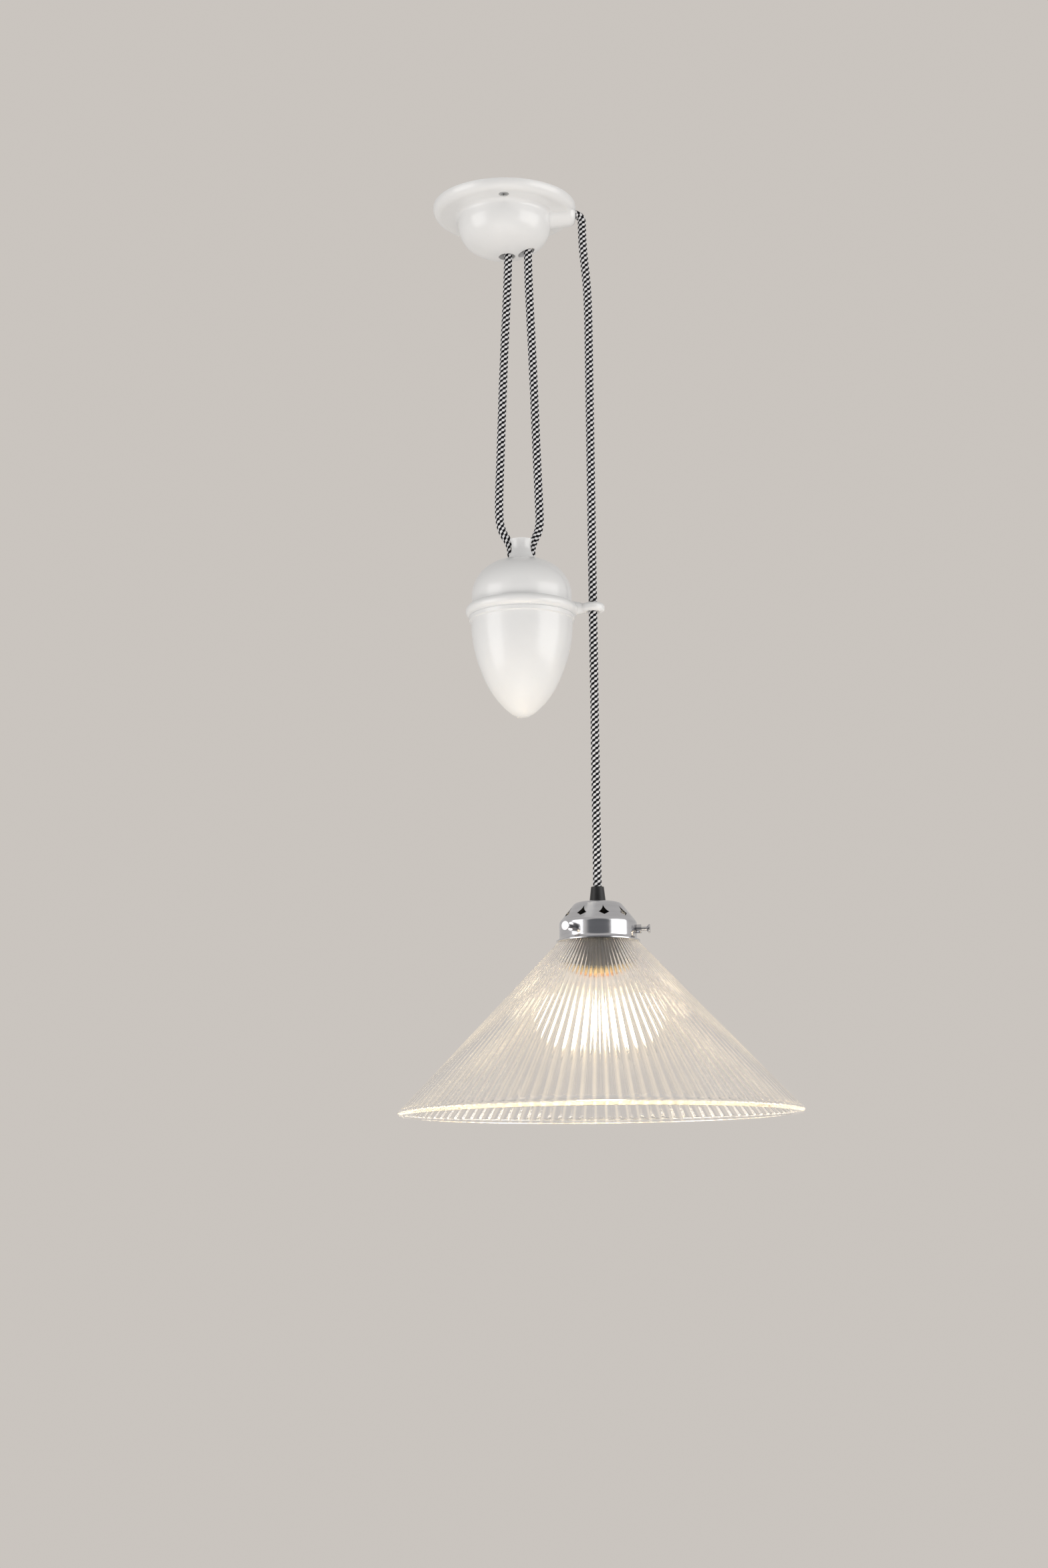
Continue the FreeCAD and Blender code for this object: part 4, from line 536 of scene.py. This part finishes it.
def cross_tool():
    """Two crossed bars for each screw of the cover, in millimetres, from inside the head to below its face."""
    screw_y = 45.0
    arm = 2.1
    half_width = 0.42
    deep = -7.3
    below_face = -8.7
    corners = []
    faces = []
    for middle in (-screw_y, screw_y):
        for half_x, half_y in ((arm, half_width), (half_width, arm)):
            first = len(corners)
            for z in (below_face, deep):
                for x, y in ((-half_x, -half_y), (half_x, -half_y), (half_x, half_y), (-half_x, half_y)):
                    corners.append((x * MM, (middle + y) * MM, z * MM))
            for face in ((3, 2, 1, 0), (4, 5, 6, 7), (0, 1, 5, 4), (1, 2, 6, 5), (2, 3, 7, 6), (3, 0, 4, 7)):
                faces.append([first + corner for corner in face])
    mesh = bpy.data.meshes.new("CrossTool")
    mesh.from_pydata(corners, [], faces)
    return bpy.data.objects.new("CrossTool", mesh)


def make_screw_heads():
    """The cover's screws again, with a cross recess cut into each head."""
    tool = cross_tool()
    head = bpy.data.objects.new("cover_screw_heads", nodes["cover_screws"].data.copy())
    for item in (tool, head):
        bpy.context.scene.collection.objects.link(item)
    cut = head.modifiers.new("CrossRecess", "BOOLEAN")
    cut.object = tool
    cut.operation = "DIFFERENCE"
    cut.solver = "EXACT"
    cut.use_self = True
    bpy.context.view_layer.update()
    shaped = bpy.data.meshes.new_from_object(head.evaluated_get(bpy.context.evaluated_depsgraph_get()))
    head.modifiers.clear()
    head.data = shaped
    bpy.data.objects.remove(tool)
    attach(head, "rose")
    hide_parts("cover_screws")


make_screw_heads()
make_shade()
nodes["bulb_glass"].visible_shadow = False


# ---------------------------------------------------------------------------------------------
# Light, floor and background

def aim(obj, target):
    direction = Vector(target) - obj.location
    obj.rotation_euler = direction.to_track_quat("-Z", "Y").to_euler()


def softbox(name, place, size, power, colour):
    data = bpy.data.lights.new(name, "AREA")
    data.shape = "RECTANGLE"
    data.size = size[0]
    data.size_y = size[1]
    data.energy = power
    data.color = colour
    lamp = bpy.data.objects.new(name, data)
    lamp.location = place
    aim(lamp, (0.03, 0, -0.45))
    bpy.context.scene.collection.objects.link(lamp)
    return lamp


def bulb_light(name, power, radius, colour, seen):
    """A light inside the bulb; one that is seen gives the glass its glow, the other lights what is near."""
    data = bpy.data.lights.new(name, "POINT")
    data.energy = power
    data.color = colour
    data.shadow_soft_size = radius
    bulb = bpy.data.objects.new(name, data)
    bulb.location = (LAMP_X * MM, 0, BULB_Z * MM)
    bulb.visible_camera = seen
    bulb.visible_glossy = seen
    bulb.visible_transmission = seen
    bulb.parent = frame["bodies"]["lamp"]
    bpy.context.scene.collection.objects.link(bulb)


def make_light():
    softbox("RightSoftbox", (2.15, -1.00, -0.3), (2.3, 1.9), 22, (1.0, 0.99, 0.975))
    softbox("LeftSoftbox", (-2.15, -0.98, -0.4), (1.6, 2.0), 16, (1.0, 0.99, 0.98))
    under = softbox("UnderLight", (-0.2, -1.7, -2.2), (2.4, 1.2), 26, (1.0, 0.98, 0.95))
    under.visible_glossy = False
    bulb_light("BulbGlow", 2.1, 0.028, (1.0, 0.80, 0.50), True)
    bulb_light("BulbLight", 2.0, 0.010, (1.0, 0.78, 0.5), False)


def make_floor():
    """A plain pale floor, well below the lamp, in metres."""
    half = 6
    depth = -2.6
    mesh = bpy.data.meshes.new("Floor")
    mesh.from_pydata([(-half, -half, depth), (half, -half, depth), (half, half, depth), (-half, half, depth)],
                     [], [(0, 1, 2, 3)])
    floor = bpy.data.objects.new("Floor", mesh)
    bpy.context.scene.collection.objects.link(floor)
    material, tree, shader = new_material("PaleFloor")
    cloud = noise(tree, object_place(tree), 3, 3)
    connect(tree, shader, ramp(tree, cloud, [(0.3, (0.84, 0.81, 0.78)), (0.7, (0.88, 0.85, 0.82))]))
    shader.inputs["Roughness"].default_value = 0.9
    mesh.materials.append(material)


def make_background():
    """Pale behind the object and in its gloss, darker towards the camera's side, and a softer fill."""
    world = bpy.data.worlds.new("Studio")
    bpy.context.scene.world = world
    world.use_nodes = True
    tree = world.node_tree
    tree.nodes.clear()
    path = add(tree, "ShaderNodeLightPath")
    place = add(tree, "ShaderNodeSeparateXYZ", {0: add(tree, "ShaderNodeTexCoord").outputs["Generated"]})
    front = ramp(tree, maths(tree, "MULTIPLY", place.outputs["Y"], -1),
                 [(0.78, (0.59, 0.565, 0.54)), (0.86, (0.16, 0.16, 0.165))])
    seen = maths(tree, "MAXIMUM", path.outputs["Is Camera Ray"], path.outputs["Is Transmission Ray"])
    fill = add(tree, "ShaderNodeBackground", {"Color": (0.80, 0.79, 0.77, 1), "Strength": 0.55})
    gloss = add(tree, "ShaderNodeBackground", {"Color": front, "Strength": 1.0})
    behind = add(tree, "ShaderNodeBackground", {"Color": (0.59, 0.555, 0.52, 1), "Strength": 1.0})
    lit = add(tree, "ShaderNodeMixShader",
              {0: path.outputs["Is Glossy Ray"], 1: fill.outputs[0], 2: gloss.outputs[0]})
    mixed = add(tree, "ShaderNodeMixShader", {0: seen, 1: lit.outputs[0], 2: behind.outputs[0]})
    add(tree, "ShaderNodeOutputWorld", {"Surface": mixed.outputs[0]})


def let_light_through():
    """Enough bounces for light that is turned round inside the glass ribs."""
    settings = bpy.context.scene.cycles
    settings.max_bounces = 24
    settings.glossy_bounces = 16
    settings.transmission_bounces = 24


make_light()
make_floor()
make_background()
let_light_through()
bpy.context.scene.view_settings.view_transform = "Standard"
